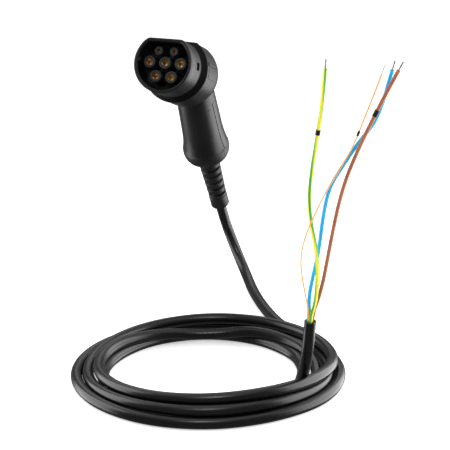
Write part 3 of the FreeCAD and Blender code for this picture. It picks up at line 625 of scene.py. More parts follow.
def make_curve(name: str, route: Sequence[Vector], resolution: int) -> bpy.types.Curve:
    """A smooth curve with the points of a route as its control points.

    Args:
        name: Name of the curve.
        route: Control points in metres.
        resolution: Steps of the curve between two of them.

    Returns:
        The curve.
    """
    curve = bpy.data.curves.new(name, "CURVE")
    curve.dimensions = "3D"
    curve.resolution_u = resolution
    curve.render_resolution_u = resolution
    spline = curve.splines.new("NURBS")
    spline.points.add(len(route) - 1)
    for point, spot in zip(spline.points, route):
        point.co = (*spot, 1.0)
    spline.order_u = 3
    spline.use_endpoint_u = True
    return curve


def line_length(line: Sequence[Vector]) -> float:
    """Length of a line of points."""
    return sum((second - first).length for first, second in zip(line, line[1:]))


# Most steps of a core's line on each side of a place that a marker sleeve can cover.
SLEEVE_STEPS = 40


def part_of_line(line: Sequence[Vector], near: Vector, length: float) -> list[Vector]:
    """The stretch of a line that is centred on its point nearest to a place.

    Args:
        line: Points of the line.
        near: The place.
        length: Length of the stretch.

    Returns:
        Points of the stretch.
    """
    index = min(range(len(line)), key=lambda number: (line[number] - near).length)
    middle = line[index]
    return [point for point in line[max(index - SLEEVE_STEPS, 0):index + SLEEVE_STEPS]
            if (point - middle).length <= length / 2]


def sweep(bm: BMesh, line: Sequence[Vector], reach: Callable[[float, float], float],
          segments: int, caps: bool = True) -> None:
    """Lay rings along a line and skin them. Each point keeps its cos, sin and length as "lay".

    Args:
        bm: Mesh that receives the tube.
        line: Points of the line in metres.
        reach: Radius in metres from the angle round and the length along.
        segments: Points of a ring.
        caps: Whether both ends are filled.
    """
    layer = bm.verts.layers.float_vector.get("lay") or bm.verts.layers.float_vector.new("lay")
    ahead = (line[1] - line[0]).normalized()
    side = ahead.orthogonal().normalized()
    angles = full_turn(segments)
    first = ring = None
    travelled = 0.0
    for index, spot in enumerate(line):
        if index:
            travelled += (spot - line[index - 1]).length
        after = line[min(index + 1, len(line) - 1)]
        before = line[max(index - 1, 0)]
        turned = (after - before).normalized()
        side = ahead.rotation_difference(turned) @ side
        side = (side - turned * side.dot(turned)).normalized()
        ahead = turned
        other = ahead.cross(side)
        places = [spot + (side * math.cos(a) + other * math.sin(a)) * reach(a, travelled)
                  for a in angles]
        ring = grow_ring(bm, ring, places) if ring else add_ring(bm, places)
        first = first or ring
        for vert, angle in zip(ring, angles):
            vert[layer] = Vector((math.cos(angle), math.sin(angle), travelled))
    if caps:
        cap_ring(bm, first)
        cap_ring(bm, ring)


@dataclass
class NoseShell:
    """The nose of the coupler: lip, dark groove, barrel, flare and flange."""

    lip: float = 4.4
    groove_end: float = 5.6
    barrel_end: float = 33.0
    flange_radius: float = 35.4
    flange: tuple[float, float] = (41.0, 43.6)
    flat: float = 29.5
    spigot: tuple[float, float] = (31.15, 57.6)
    mouth: float = 29.0
    wall: float = 3.6
    lining: float = 2.0
    barrel_inset: float = 0.4
    flare_start: float = 28.0
    flare_centre: tuple[float, float] = (40.7, 24.9)
    flare_curve: float = 17.0
    corner: float = 2.0
    spigot_step: float = 3.4
    lock_recess: Block = ((28.1, 19.0, -2.0), (36.0, 27.0, 6.0))
    drain_notch: Block = ((-3.0, 4.0, -34.0), (3.0, 8.0, -29.9))
    rib_middle: tuple[float, float, float] = (-27.4, 14.5, 2.4)
    rib_size: tuple[float, float, float] = (2.6, 24.0, 4.4)
    rib_edge: float = 0.5

    def flare(self, along: float) -> float:
        """Radius of the hollow flare at a place along the coupler."""
        out, middle = self.flare_centre
        return out - math.sqrt(self.flare_curve ** 2 - (along - middle) ** 2)

    def rings(self) -> list[list[Vector]]:
        """All rings, from the mouth's edge over the outside and back through the hollow."""
        angles = face_angles()

        def outline(along: float, inset: float) -> list[Vector]:
            """A ring with the face's outline."""
            return face_ring(angles, [face_reach(a, inset) for a in angles], along)

        def circle(along: float, radius: float, lower: float = 0.0) -> list[Vector]:
            """A round ring, levelled at the top."""
            flat = self.flat - lower
            corner = min(self.corner, radius - flat)
            return face_ring(angles, [level_reach(a, radius, flat, corner) for a in angles], along)

        def over_flare(along: float, inset: float) -> list[Vector]:
            """A ring with the face's outline, but never inside the flare."""
            least = self.flare(along)
            return face_ring(angles, [max(face_reach(a, inset), least) for a in angles], along)

        barrel = self.barrel_inset
        lip = [(1.4, self.wall), (0.35, 2.55), (0.0, 2.2), (0.0, 1.1), (0.12, 0.62),
               (0.45, 0.22), (1.1, 0.0), (self.lip - 0.4, 0.0), (self.lip - 0.1, 0.12),
               (self.lip, 0.4), (self.lip, 1.0), (self.groove_end, 1.0),
               (self.groove_end, 0.75), (self.groove_end + 0.1, 0.48),
               (self.groove_end + 0.4, barrel), (12.0, barrel), (20.0, barrel),
               (self.flare_start - 0.1, barrel)]
        rings = [outline(*station) for station in lip]
        rings += [over_flare(self.flare_start + 0.55 * step, barrel) for step in range(9)]
        end = self.barrel_end
        rings += [over_flare(end - 0.35, barrel), over_flare(end - 0.1, 0.55),
                  over_flare(end, 0.9)]
        rings.append(circle(end + 0.02, self.flare(end)))
        front, back = self.flange
        for step in range(1, 16):
            along = end + (front - 0.35 - end) * step / 15
            rings.append(circle(along, self.flare(along)))
        outer = self.flange_radius
        rings += [circle(front + 0.05, outer - 0.35, 0.3), circle(front + 0.35, outer),
                  circle(back - 0.5, outer), circle(back - 0.12, outer - 0.14, 0.14),
                  circle(back, outer - 0.5, 0.5)]
        spigot, tip = self.spigot
        rings += [circle(back, spigot, self.spigot_step), circle(tip, spigot, self.spigot_step),
                  outline(tip, self.lining), outline(self.mouth + 0.05, self.lining),
                  outline(self.mouth, self.wall)]
        return rings

    def in_cove(self, face: bpy.types.MeshPolygon) -> bool:
        """Whether a face lies in the cove between the barrel and the flange."""
        across, along, upward = face.center / MM
        return (self.barrel_end - 2.0 < along < self.flange[0] + 0.02
                and math.hypot(across, upward) > self.flare(self.barrel_end) - 1.0
                and face.normal.y < 0.2)

    def build(self) -> None:
        """Build the nose with its lock recess and drain notch, its cove in painted shade, and the
        rib in its mouth.
        """
        bm = bmesh.new()
        skin(bm, self.rings(), loop=True)
        mesh = close_mesh(bm, TO_METRES)
        mesh = cut_blocks(mesh, (self.lock_recess, self.drain_notch))
        # Painted shade: the faces of the cove get the darker black as the nose's second material.
        hollow = [face.index for face in mesh.polygons if self.in_cove(face)]
        mesh.transform(PLUG)
        nose = link_piece("nose", mesh, HOUSING_BLACK.make())
        nose.data.materials.append(PAINTED_SHADE_BLACK.make())
        for index in hollow:
            nose.data.polygons[index].material_index = 1
        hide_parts("nose_shell")
        self.build_rib(nose.data.materials[0])

    def build_rib(self, material: bpy.types.Material) -> None:
        """Build the short rib on the inner wall, left of the middle row.

        Args:
            material: Finish of the nose.
        """
        bm = bmesh.new()
        block = Matrix.Translation(self.rib_middle) @ Matrix.Diagonal((*self.rib_size, 1.0))
        bmesh.ops.create_cube(bm, size=1.0, matrix=block)
        bmesh.ops.bevel(bm, geom=bm.edges[:], offset=self.rib_edge, affect="EDGES", segments=2,
                        profile=0.5, material=-1)
        rib = link_piece("mouth_rib", close_mesh(bm, PLUG @ TO_METRES), material)


class ContactKind(Enum):
    """The two kinds of contact: radii of tower, socket and bore, and room at the tower's mouth."""

    POWER = (6.4, 4.0, 3.0, 0.45)
    PILOT = (4.6, 2.5, 1.5, 0.2)


@dataclass
class ContactSet:
    """The contact carrier with its seven towers, and the turned sockets in them."""

    front: float = 7.0
    mouth: float = 29.0
    back: float = 35.0
    base_inset: float = 2.3
    socket_gap: float = 0.1
    recess: float = 2.0
    lip: float = 1.5
    depth: float = 9.0
    collar: float = 1.1
    collar_length: float = 2.0
    tail_end: float = 49.0
    tail_step: float = 0.6
    crimp_depth: float = 8.0
    crimp_share: float = 0.6
    places: dict = field(default_factory=lambda: {
        "contact_pe": (0.0, 1.2, ContactKind.POWER),
        "contact_n": (-17.0, 1.2, ContactKind.POWER),
        "contact_l1": (17.0, 1.2, ContactKind.POWER),
        "contact_l2": (8.5, -13.3, ContactKind.POWER),
        "contact_l3": (-8.5, -13.3, ContactKind.POWER),
        "contact_cp": (-8.3, 13.3, ContactKind.PILOT),
        "contact_pp": (8.3, 13.3, ContactKind.PILOT),
    })

    def build_carrier(self) -> None:
        """Build the base plate and its towers as one piece."""
        bm = bmesh.new()
        angles = face_angles()
        reach = [face_reach(a, self.base_inset) for a in angles]
        base = [face_ring(angles, reach, along) for along in (self.mouth + 0.05, self.back)]
        skin(bm, base, caps=True)
        for across, upward, kind in self.places.values():
            tower, sleeve, bore, room = kind.value
            hole = sleeve + self.socket_gap
            mouth = bore + room
            profile = [
                (hole, self.mouth), (hole, self.front + self.lip), (mouth, self.front + self.lip),
                (mouth, self.front + 0.5), (mouth + 0.12, self.front + 0.2),
                (mouth + 0.5, self.front), (tower - 0.8, self.front),
                (tower - 0.35, self.front + 0.1), (tower - 0.08, self.front + 0.4),
                (tower, self.front + 0.9), (tower + 0.15, self.mouth - 0.8),
                (tower + 0.9, self.mouth),
            ]
            spin_profile(bm, profile, Axis.COUPLER, 48, (across, upward), closed=False)
        carrier = link_piece("carrier", close_mesh(bm, PLUG @ TO_METRES), CARRIER_BLACK.make())
        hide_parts("contact_carrier")

    def build_contacts(self) -> None:
        """Build each socket: mouth with a rounded edge, bore, collar and crimp tail."""
        gold = CONTACT_GOLD.make()
        start = self.front + self.recess
        for node, (across, upward, kind) in self.places.items():
            _, sleeve, bore, _ = kind.value
            tail = sleeve - self.tail_step
            collar = sleeve + self.collar
            crimp = tail * self.crimp_share
            profile = [
                (0.0, start + self.depth + 0.8), (bore, start + self.depth), (bore, start + 0.7),
                (bore + 0.08, start + 0.32), (bore + 0.3, start + 0.06), (bore + 0.5, start),
                (sleeve - 0.3, start), (sleeve - 0.08, start + 0.1), (sleeve, start + 0.35),
                (sleeve, self.back - self.collar_length),
                (collar, self.back - self.collar_length), (collar, self.back),
                (tail, self.back), (tail, self.tail_end), (crimp, self.tail_end),
                (crimp, self.tail_end - self.crimp_depth), (0.0, self.tail_end - self.crimp_depth),
            ]
            bm = bmesh.new()
            spin_profile(bm, profile, Axis.COUPLER, 40, (across, upward), closed=False)
            socket = link_piece(node + "_turned", close_mesh(bm, PLUG @ TO_METRES), gold)
            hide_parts(node)

    def build(self) -> None:
        """Build carrier and sockets."""
        self.build_carrier()
        self.build_contacts()


@dataclass(frozen=True)
class PaintedShadeBand:
    """Painted shade: a slanted band of darker, duller black round the lower end of the grip, where
    shade falls.
    """

    slope: float = 0.5
    middle: float = -99.0
    half: float = 3.0
    inside: float = 20.5

    def mark(self, bm: BMesh, grip: Matrix) -> None:
        """Give the band's faces on a skin the second material, the painted shade.

        Args:
            bm: The skin, in millimetres.
            grip: Frame of the grip in the frame of the skin.
        """
        facing = (grip.to_3x3() @ Vector((0.0, self.slope, 1.0))).normalized()
        for side in (-self.half, self.half):
            split_skin(bm, grip @ Vector((0.0, 0.0, self.middle + side)), facing)
        back = grip.inverted()
        for face in bm.faces:
            spot = back @ face.calc_center_median()
            level = spot.z + self.slope * spot.y - self.middle
            if abs(level) < self.half and spot.xy.length > self.inside:
                face.material_index = 1

    def dress(self, piece: bpy.types.Object) -> None:
        """Give a piece that the band crosses its second material, the painted shade."""
        piece.data.materials.append(PAINTED_SHADE_BLACK.make())


@dataclass
class Housing:
    """The round head and the grip: main housing and rear cover, with the strip between them."""

    head_radius: float = 34.5
    head_flat: float = 29.5
    dome_centre: float = 74.0
    front: float = 43.75
    grip_sections: Profile = ((20.0, 19.5), (21.6, 22.6), (23.0, 23.8))
    grip_places: tuple[float, float, float] = (13.0, -50.0, -94.0)
    grip_length: float = 94.0
    overlap: float = 6.0
    flare_start: float = 70.0
    flare_length: float = 24.0
    flare_rise: float = 1.9
    cover_start: float = 30.0
    strip: tuple[float, float] = (-11.5, -5.6)
    strip_depth: float = 0.4
    strip_edge: float = 0.12
    gap: float = 0.25
    voxel: float = 0.9
    wall: float = 2.2
    seam: tuple[float, float, float] = (9.0, 47.0, 84.0)
    pad: tuple[float, float, float, float] = (-6.2, 3.2, 49.0, 75.0)
    mark_edge: float = 0.2
    groove_depth: float = 0.35
    pad_height: float = 0.3
    flank: tuple[float, float] = (20.0, 16.0)
    edge_width: float = 0.22

    def section(self, along: float) -> tuple[float, float]:
        """Half width and half depth of the grip at a place along it."""
        first, second, third = self.grip_places
        shares = (
            (along - second) * (along - third) / ((first - second) * (first - third)),
            (along - first) * (along - third) / ((second - first) * (second - third)),
            (along - first) * (along - second) / ((third - first) * (third - second)),
        )
        width = sum(share * pair[0] for share, pair in zip(shares, self.grip_sections))
        depth = sum(share * pair[1] for share, pair in zip(shares, self.grip_sections))
        beyond = max(0.0, (-self.flare_start - along) / self.flare_length)
        flare = self.flare_rise * beyond ** 2.0
        return width + flare, depth + flare

    def form(self) -> bpy.types.Mesh:
        """The outside of head and grip, melted into one skin, in the plug's frame in metres."""
        bm = bmesh.new()
        radius, centre = self.head_radius, self.dome_centre
        start = self.front - self.overlap
        profile = [(0.0, start), (radius, start)]
        profile += [(radius, self.front + step * 5) for step in range(7)]
        for step in range(25):
            turned = math.pi / 2 * step / 24
            profile.append((radius * math.cos(turned), centre + radius * math.sin(turned)))
        profile[-1] = (0.0, centre + radius)
        spin_profile(bm, profile, Axis.COUPLER, 96, closed=False)
        for vert in bm.verts:
            vert.co.z = min(vert.co.z, self.head_flat)
        inner = bmesh.new()
        top, steps = self.grip_places[0], 23
        rings = []
        for step in range(steps + 1):
            along = top - (self.grip_length + self.overlap + top) * step / steps
            rings.append(oval_ring(*self.section(along), along, 80))
        skin(inner, rings, caps=True)
        take_in(bm, inner, GRIP_IN_PLUG_MM)
        mesh = close_mesh(bm, TO_METRES)
        return bake(mesh, [
            ("REMESH", {"mode": "VOXEL", "voxel_size": self.voxel * MM, "use_smooth_shade": True}),
            ("SMOOTH", {"factor": 0.5, "iterations": 14}),
        ])

    def mark_flanks(self, bm: BMesh) -> None:
        """Cut the fine parting groove and raise the flat pad on both flanks of the head.

        Args:
            bm: The skin in the coupler's frame, in millimetres.
        """
        height, start, end = self.seam
        bottom, top, front, back = self.pad
        step = self.mark_edge
        wide, high = self.flank
        cuts = [((0, 0, 1), (0, 0, level)) for level in
                (height - step, height, height + step, bottom - step, bottom, top, top + step)]
        cuts += [((0, 1, 0), (0, level, 0)) for level in
                 (start, front - step, front, back, back + step, end)]
        for normal, at in cuts:
            region = []
            for face in bm.faces:
                across, along, upward = face.calc_center_median()
                if abs(across) > wide and abs(upward) < high and start - 3.0 < along < end + 3.0:
                    region.append(face)
            split_skin(bm, at, normal, faces=region)
        bm.normal_update()
        moves = []
        for vert in bm.verts:
            across, along, upward = vert.co
            if abs(across) < wide:
                continue
            if abs(upward - height) < 0.02 and start < along < end:
                moves.append((vert, vert.normal * -self.groove_depth))
            elif bottom - 0.01 <= upward <= top + 0.01 and front - 0.01 <= along <= back + 0.01:
                moves.append((vert, vert.normal * self.pad_height))
        for vert, shift in moves:
            vert.co += shift

    def trim(self, form: bpy.types.Mesh, cover: bool) -> bpy.types.Mesh:
        """Cut the skin to the main housing or to the rear cover, and give it its wall.

        Args:
            form: The melted skin.
            cover: Whether the rear cover is wanted.

        Returns:
            The mesh in the part's frame.
        """
        bm = open_in_millimetres(form)

        def split(place: Matrix, normal: tuple, at: tuple, clear: bool = False) -> None:
            """Cut along a plane, and clear what lies on the side of its normal."""
            facing = (place.to_3x3() @ Vector(normal)).normalized()
            split_skin(bm, place @ Vector(at), facing, clear)

        grip = GRIP_IN_PLUG_MM
        if not cover:
            self.mark_flanks(bm)
        split(SAME_PLACE, (0, -1, 0), (0, self.front, 0), clear=True)
        split(grip, (0, 0, -1), (0, 0, -self.grip_length), clear=True)
        low, seam = self.strip
        start = -self.cover_start
        if cover:
            split(grip, (0, -1, 0), (0, seam + self.gap, 0), clear=True)
            split(grip, (0, 0, 1), (0, 0, start - self.gap), clear=True)
        else:
            for level in (low, low + self.strip_edge, seam):
                split(grip, (0, 1, 0), (0, level, 0))
            for level in (start, start - self.strip_edge):
                split(grip, (0, 0, 1), (0, 0, level))
            back = grip.inverted()
            centres = [(face, back @ face.calc_center_median()) for face in bm.faces]
            gone = [face for face, spot in centres if spot.y > seam and spot.z < start]
            bmesh.ops.delete(bm, geom=gone, context="FACES")
            moves = []
            for vert in bm.verts:
                spot = back @ vert.co
                if low + 0.1 <= spot.y <= seam + 0.01 and spot.z <= start - 0.1:
                    moves.append((vert, -vert.normal * self.strip_depth))
            for vert, shift in moves:
                vert.co += shift
        # Painted shade: the slanted band round the end of the grip gets the darker black.
        PaintedShadeBand().mark(bm, grip)
        bmesh.ops.transform(bm, matrix=PLUG @ TO_METRES, verts=bm.verts)
        mesh = close_mesh(bm, clean=False)
        return bake(mesh, [
            ("SOLIDIFY", {"thickness": self.wall * MM, "offset": -1.0, "use_rim": True,
                          "use_even_offset": False}),
            ("BEVEL", {"width": self.edge_width * MM, "segments": 2, "limit_method": "ANGLE",
                       "angle_limit": math.radians(50), "profile": 0.5}),
        ])

    def build(self) -> None:
        """Build main housing and rear cover, and the small marks on the head's flank."""
        plastic = HOUSING_BLACK.make()
        form = self.form()
        body = link_piece("housing", self.trim(form, cover=False), plastic, 40.0)
        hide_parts("main_housing")
        cover = link_piece("grip_cover", self.trim(form, cover=True), plastic, 40.0)
        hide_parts("rear_cover")
        # Each piece gets the painted shade black as its second material.
        for piece in (body, cover):
            PaintedShadeBand().dress(piece)


@dataclass
class EndBoot:
    """The rounded end of the grip, which holds the lower part of the painted shade band."""

    inner_end: float = -84.0
    inner_radius: float = 18.9
    top: float = -94.15
    top_edge: float = 0.4
    shoulder: float = -97.5
    turn_in: float = -100.0
    end: float = -114.6
    top_radius: float = 25.2
    radius: float = 26.0
    end_radius: float = 11.5
    bore: float = 10.0
    bore_edge: float = 0.4
    fullness: float = 0.8
    oval: tuple[float, float] = (0.986, 1.016)
    lines: tuple[Block, Block] = (((23.4, -8.9, -103.0), (30.0, -8.5, -90.0)),
                                  ((-30.0, -8.9, -103.0), (-23.4, -8.5, -90.0)))

    def build(self) -> None:
        """Build the boot with the fine line on both its flanks."""
        top, start = self.top_radius, self.top - self.top_edge
        profile = [(self.bore, self.inner_end), (self.inner_radius, self.inner_end),
                   (self.inner_radius, self.top), (top - 0.5, self.top),
                   (top - 0.14, self.top - 0.1), (top, start)]
        for step in range(1, 7):
            share = step / 6
            profile.append((top + (self.radius - top) * math.sin(math.pi / 2 * share),
                            start + (self.shoulder - self.top + self.top_edge) * share))
        drop = self.turn_in - self.end
        run = self.radius - self.end_radius
        for step in range(19):
            turned = math.pi / 2 * step / 18
            profile.append((self.end_radius + run * math.cos(turned) ** self.fullness,
                            self.turn_in - drop * math.sin(turned)))
        profile += [(self.bore + self.bore_edge, self.end), (self.bore, self.end + self.bore_edge)]
        bm = bmesh.new()
        spin_profile(bm, profile, Axis.GRIP)
        mesh = close_mesh(bm, TO_METRES @ Matrix.Diagonal((*self.oval, 1.0, 1.0)))
        bm = open_in_millimetres(cut_blocks(mesh, self.lines))
        # Painted shade: the lower part of the slanted band gets the darker black.
        PaintedShadeBand().mark(bm, SAME_PLACE)
        mesh = close_mesh(bm, GRIP @ TO_METRES, clean=False)
        boot = link_piece("boot", mesh, BOOT_BLACK.make())
        PaintedShadeBand().dress(boot)
        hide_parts("end_boot")


@dataclass
class StrainRelief:
    """The tapered sleeve below the grip: six slots that fade towards two spines, and a collar."""

    top_radius: float = 12.0
    end_radius: float = 9.6
    length: float = 60.0
    start: float = -14.0
    first: float = -8.9
    pitch: float = 9.4
    slot: float = 3.6
    depth: float = 2.9
    spines: tuple[float, float] = (0.25, 2.60)
    slots: int = 6
    collar: float = 0.7
    collar_start: float = 44.5
    bore: float = 6.0
    points: int = 96
    fade: tuple[float, float] = (0.16, 0.34)
    neck: Profile = ((6.0, -80.0), (14.0, -80.0), (14.0, -84.0), (8.6, -84.0), (8.6, -113.0),
                     (6.0, -113.0))

    def outside(self, along: float) -> float:
        """Radius of the plain taper."""
        share = (along - self.start) / (self.length - self.start)
        return self.top_radius - (self.top_radius - self.end_radius) * share

    def ring(self, along: float, cut: float) -> list[Vector]:
        """A ring of the sleeve, drawn in by cut at front and back but not at the two spines."""
        start, width = self.fade
        places = []
        for angle in full_turn(self.points):
            near = min(abs(math.remainder(angle - spine, math.tau)) for spine in self.spines)
            share = min(1.0, max(0.0, (near - start) / width))
            radius = self.outside(along) - cut * share * share * (3 - 2 * share)
            places.append(Vector((radius * math.cos(angle), radius * math.sin(angle), -along)))
        return places

    def build(self) -> bpy.types.Object:
        """Build the sleeve.

        Returns:
            The piece.
        """
        def plain(radius: float, along: float) -> list[Vector]:
            """A round ring."""
            return oval_ring(radius, radius, -along, self.points)

        rings = [plain(self.bore, self.start), self.ring(self.start, 0.6),
                 self.ring(self.start + 0.3, 0.15), self.ring(self.start + 0.8, 0.0)]
        edge = ((-0.9, 0.0), (-0.3, 0.18), (0.1, 0.6), (0.4, self.depth - 0.5), (0.8, self.depth))
        for number in range(self.slots):
            start = self.first + self.pitch * number
            end = start + self.slot
            rings += [self.ring(start + inward, cut) for inward, cut in edge]
            rings += [self.ring(end - inward, cut) for inward, cut in reversed(edge)]
        upper, collar = self.collar_start, self.end_radius + self.collar
        rings += [self.ring(upper - 0.4, 0.0), self.ring(upper - 0.1, 0.1),
                  plain(collar - 0.35, upper + 0.02), plain(collar - 0.1, upper + 0.15),
                  plain(collar, upper + 0.5), plain(collar, self.length - 1.0),
                  plain(collar - 0.3, self.length - 0.3), plain(collar - 1.0, self.length),
                  plain(self.bore + 0.5, self.length), plain(self.bore, self.length - 0.5)]
        bm = bmesh.new()
        skin(bm, rings, loop=True)
        neck = bmesh.new()
        spin_profile(neck, self.neck, Axis.GRIP, 64)
        take_in(bm, neck, RELIEF_IN_GRIP_MM.inverted())
        sleeve = link_piece("relief", close_mesh(bm, RELIEF @ TO_METRES), RELIEF_BLACK.make())
        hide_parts("strain_relief")
        return sleeve


@dataclass
class MainCable:
    """The whole cable: out of the strain relief, down, four loose turns, and up to its cut end."""

    diameter: float = 0.0115
    smoothness: int = 14
    roundness: int = 8
    leaving: tuple[float, float] = (-0.0590, -0.0850)
    camera_turn: float = 19.0
    coil_step: float = 30.0
    widening: float = 1.035
    rise: Sequence[tuple] = (
        (-0.0779, 0.3022, 0.0429), (-0.0657, 0.2950, 0.0223), (-0.0512, 0.2768, 0.0097),
        (-0.0340, 0.2450, 0.0060), (-0.0145, 0.2105, 0.0060), (0.0065, 0.1782, 0.00575),
        (0.0290, 0.1490, 0.00575), (0.0580, 0.1220, 0.00575), (0.0905, 0.1015, 0.00575),
    )
    # Radius and height of the coil's line at every twelfth of a turn, clockwise from above.
    coil: Sequence[tuple] = (
        (131.5, 5.75), (130.5, 5.75), (125.5, 5.75), (128.0, 5.75), (130.3, 5.75), (131.0, 5.75),
        (131.0, 5.75), (130.5, 5.75), (130.5, 5.75), (130.0, 5.75), (127.5, 5.75), (123.0, 5.75),
        (120.0, 5.75), (119.8, 11.3), (120.3, 16.6), (123.0, 16.2), (121.2, 14.2), (119.4, 9.5),
        (119.5, 7.0), (119.7, 11.1), (120.5, 14.2), (121.5, 16.9), (124.0, 17.3), (125.5, 17.25),
        (124.5, 18.5), (118.5, 22.8), (115.5, 26.4), (113.0, 24.2), (111.5, 20.8), (109.9, 17.0),
        (108.5, 15.0), (104.0, 16.8), (95.0, 14.5), (88.5, 9.5), (97.0, 17.4), (107.5, 11.5),
        (108.4, 5.75), (109.2, 5.75), (111.5, 5.75), (115.0, 5.75), (111.0, 5.75), (107.2, 5.75),
        (104.0, 5.75), (101.0, 5.75), (103.0, 5.75), (104.0, 5.75), (101.0, 5.75), (97.0, 5.75),
    )
    tail: Sequence[tuple] = (
        (0.0860, 0.0438, 0.00575), (0.0927, 0.0194, 0.00575), (0.0981, -0.0067, 0.0105),
        (0.1070, -0.0286, 0.0265), (0.1176, -0.0480, 0.0599), (0.1206, -0.0510, 0.0920),
    )

    def route(self) -> list[Vector]:
        """Control points from the strain relief to the cut end."""
        points = [RELIEF @ Vector((0, 0, drop)) for drop in self.leaving]
        points += [Vector(spot) for spot in self.rise]
        for number, (radius, height) in enumerate(self.coil):
            turned = math.radians(self.camera_turn - self.coil_step * number)
            reach = radius * self.widening * MM
            points.append(Vector((reach * math.cos(turned), reach * math.sin(turned),
                                  height * MM)))
        return points + [Vector(spot) for spot in self.tail]

    def end_frame(self) -> Matrix:
        """Frame at the cut end, Z along the cable."""
        last, before = Vector(self.tail[-1]), Vector(self.tail[-2])
        along = (last - before).normalized()
        turned = Vector((0, 0, 1)).rotation_difference(along).to_matrix().to_4x4()
        return Matrix.Translation(last) @ turned

    def build(self, sleeve: bpy.types.Object) -> None:
        """Build the cable and the ring of its cut sheath.

        Args:
            sleeve: The strain relief on the cable; not used.
        """
        route = self.route()
        curve = make_curve("cable", route, self.smoothness)
        curve.bevel_depth = self.diameter / 2
        curve.bevel_resolution = self.roundness
        curve.use_fill_caps = True
        rubber = SHEATH_BLACK.make()
        curve.materials.append(rubber)
        cable = link_object("cable", curve)
        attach(cable, BODY)
        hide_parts("cable_rise", "cable_coil", "cable_tail")
        ring = self.build_cut(rubber)
        length = line_length(centre_line(route))
        LOG.info("cable: length %.3f m", length)

    def build_cut(self, rubber: bpy.types.Material) -> list[bpy.types.Object]:
        """Build the cut edge of the sheath and the filler inside it.

        Args:
            rubber: Finish of the sheath.

        Returns:
            The two pieces.
        """
        outer = self.diameter / 2 / MM
        place = self.end_frame() @ TO_METRES
        bm = bmesh.new()
        spin_profile(bm, [(outer - 0.02, -2.0), (outer + 0.05, -0.4), (outer, 0.6),
                          (outer - 0.25, 0.9), (outer - 1.0, 0.95), (outer - 1.2, 0.7),
                          (outer - 1.25, -0.3), (outer - 1.3, -2.0)], Axis.GRIP, 48)
        edge = link_piece("sheath_edge", close_mesh(bm, place), rubber)
        bm = bmesh.new()
        spin_profile(bm, [(0.0, -1.0), (outer - 1.2, -1.0), (outer - 1.2, 0.1),
                          (outer - 2.2, 0.4), (outer - 3.6, 0.35), (0.0, 0.5)],
                     Axis.GRIP, 32, closed=False)
        filler = link_piece("sheath_filler", close_mesh(bm, place), FILLER_GREY.make())
        return [edge, filler]


@dataclass
class Core:
    """One insulated core above the cut end, with its stripped strands and its marker sleeve.

    It leaves the cut at an angle, at its share of the circle on which the cores lie.
    """

    name: str
    finish: MouldedPolymer | StripedInsulation
    diameter: float
    angle: float
    share: float
    route: Sequence[tuple]
    marked: bool = False
    strip: float = 0.009
    circle: float = 0.0022
    straight: float = 0.009
    strand_radius: float = 0.00105
    strand_share: float = 0.6
    strand_twist: float = 620.0
    strand_flare: float = 0.08
    buried: float = 0.0006
    sleeve_length: float = 0.0078
    sleeve_gap: float = 0.00006
    sleeve_wall: float = 0.00045
    points: int = 28
    strand_points: int = 56
    sleeve_points: int = 32

    def line(self, tail: Matrix) -> list[Vector]:
        """Control points of the core.

        Args:
            tail: Frame of the cable's cut end.

        Returns:
            The points in metres.
        """
        turned = math.radians(self.angle)
        away = self.circle * self.share
        start = Vector((away * math.cos(turned), away * math.sin(turned), 0.0))
        leaving = [tail @ start, tail @ (start + Vector((0, 0, self.straight)))]
        return leaving + [Vector(spot) for spot in self.route]

    def build_strands(self, tip: Vector, ahead: Vector) -> bpy.types.Object:
        """Build the twisted strands of the stripped end.

        Args:
            tip: End of the insulation.
            ahead: Direction of the core there.

        Returns:
            The piece.
        """
        radius = min(self.strand_radius, self.diameter / 2 * self.strand_share)
        count = 7 if self.diameter > 0.002 else 5

        def lobes(angle: float, along: float) -> float:
            """Radius over the strands, which wind round the bundle."""
            wave = abs(math.cos(count / 2 * (angle + along * self.strand_twist)))
            flare = 1.0 + self.strand_flare * (along / self.strip) ** 3
            return radius * (0.80 + 0.20 * wave) * flare

        steps = 26
        line = [tip + ahead * (self.strip * step / steps - self.buried)
                for step in range(steps + 1)]
        bm = bmesh.new()
        sweep(bm, line, lobes, self.strand_points)
        strands = link_piece("strands_" + self.name, close_mesh(bm, merge=1e-7),
                             TINNED_STRAND.make(), 60.0)
        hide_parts("stripped_end_" + self.name)
        return strands

    def build_sleeve(self, line: Sequence[Vector]) -> bpy.types.Object:
        """Build the plain marker sleeve.

        Args:
            line: Centre line of the core.

        Returns:
            The piece.
        """
        low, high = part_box("marker_" + self.name)
        stretch = part_of_line(line, (low + high) / 2, self.sleeve_length)
        inner = self.diameter / 2 + self.sleeve_gap
        bm = bmesh.new()
        sweep(bm, stretch, lambda angle, along: inner, self.sleeve_points, caps=False)
        bmesh.ops.recalc_face_normals(bm, faces=bm.faces)
        bmesh.ops.solidify(bm, geom=bm.faces[:], thickness=-self.sleeve_wall)
        sleeve = link_piece("sleeve_" + self.name, close_mesh(bm, clean=False),
                            SLEEVE_BLACK.make())
        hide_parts("marker_" + self.name)
        return sleeve

    def build(self, tail: Matrix) -> None:
        """Build the core.

        Args:
            tail: Frame of the cable's cut end.
        """
        route = self.line(tail)
        line = centre_line(route, 10)
        radius = self.diameter / 2
        bm = bmesh.new()
        sweep(bm, line, lambda angle, along: radius, self.points)
        core = link_piece("insulation_" + self.name, close_mesh(bm, merge=1e-7),
                          self.finish.make(), 50.0)
        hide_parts("core_" + self.name)
        pieces = [self.build_strands(line[-1], (line[-1] - line[-2]).normalized())]
        if self.marked:
            pieces.append(self.build_sleeve(line))


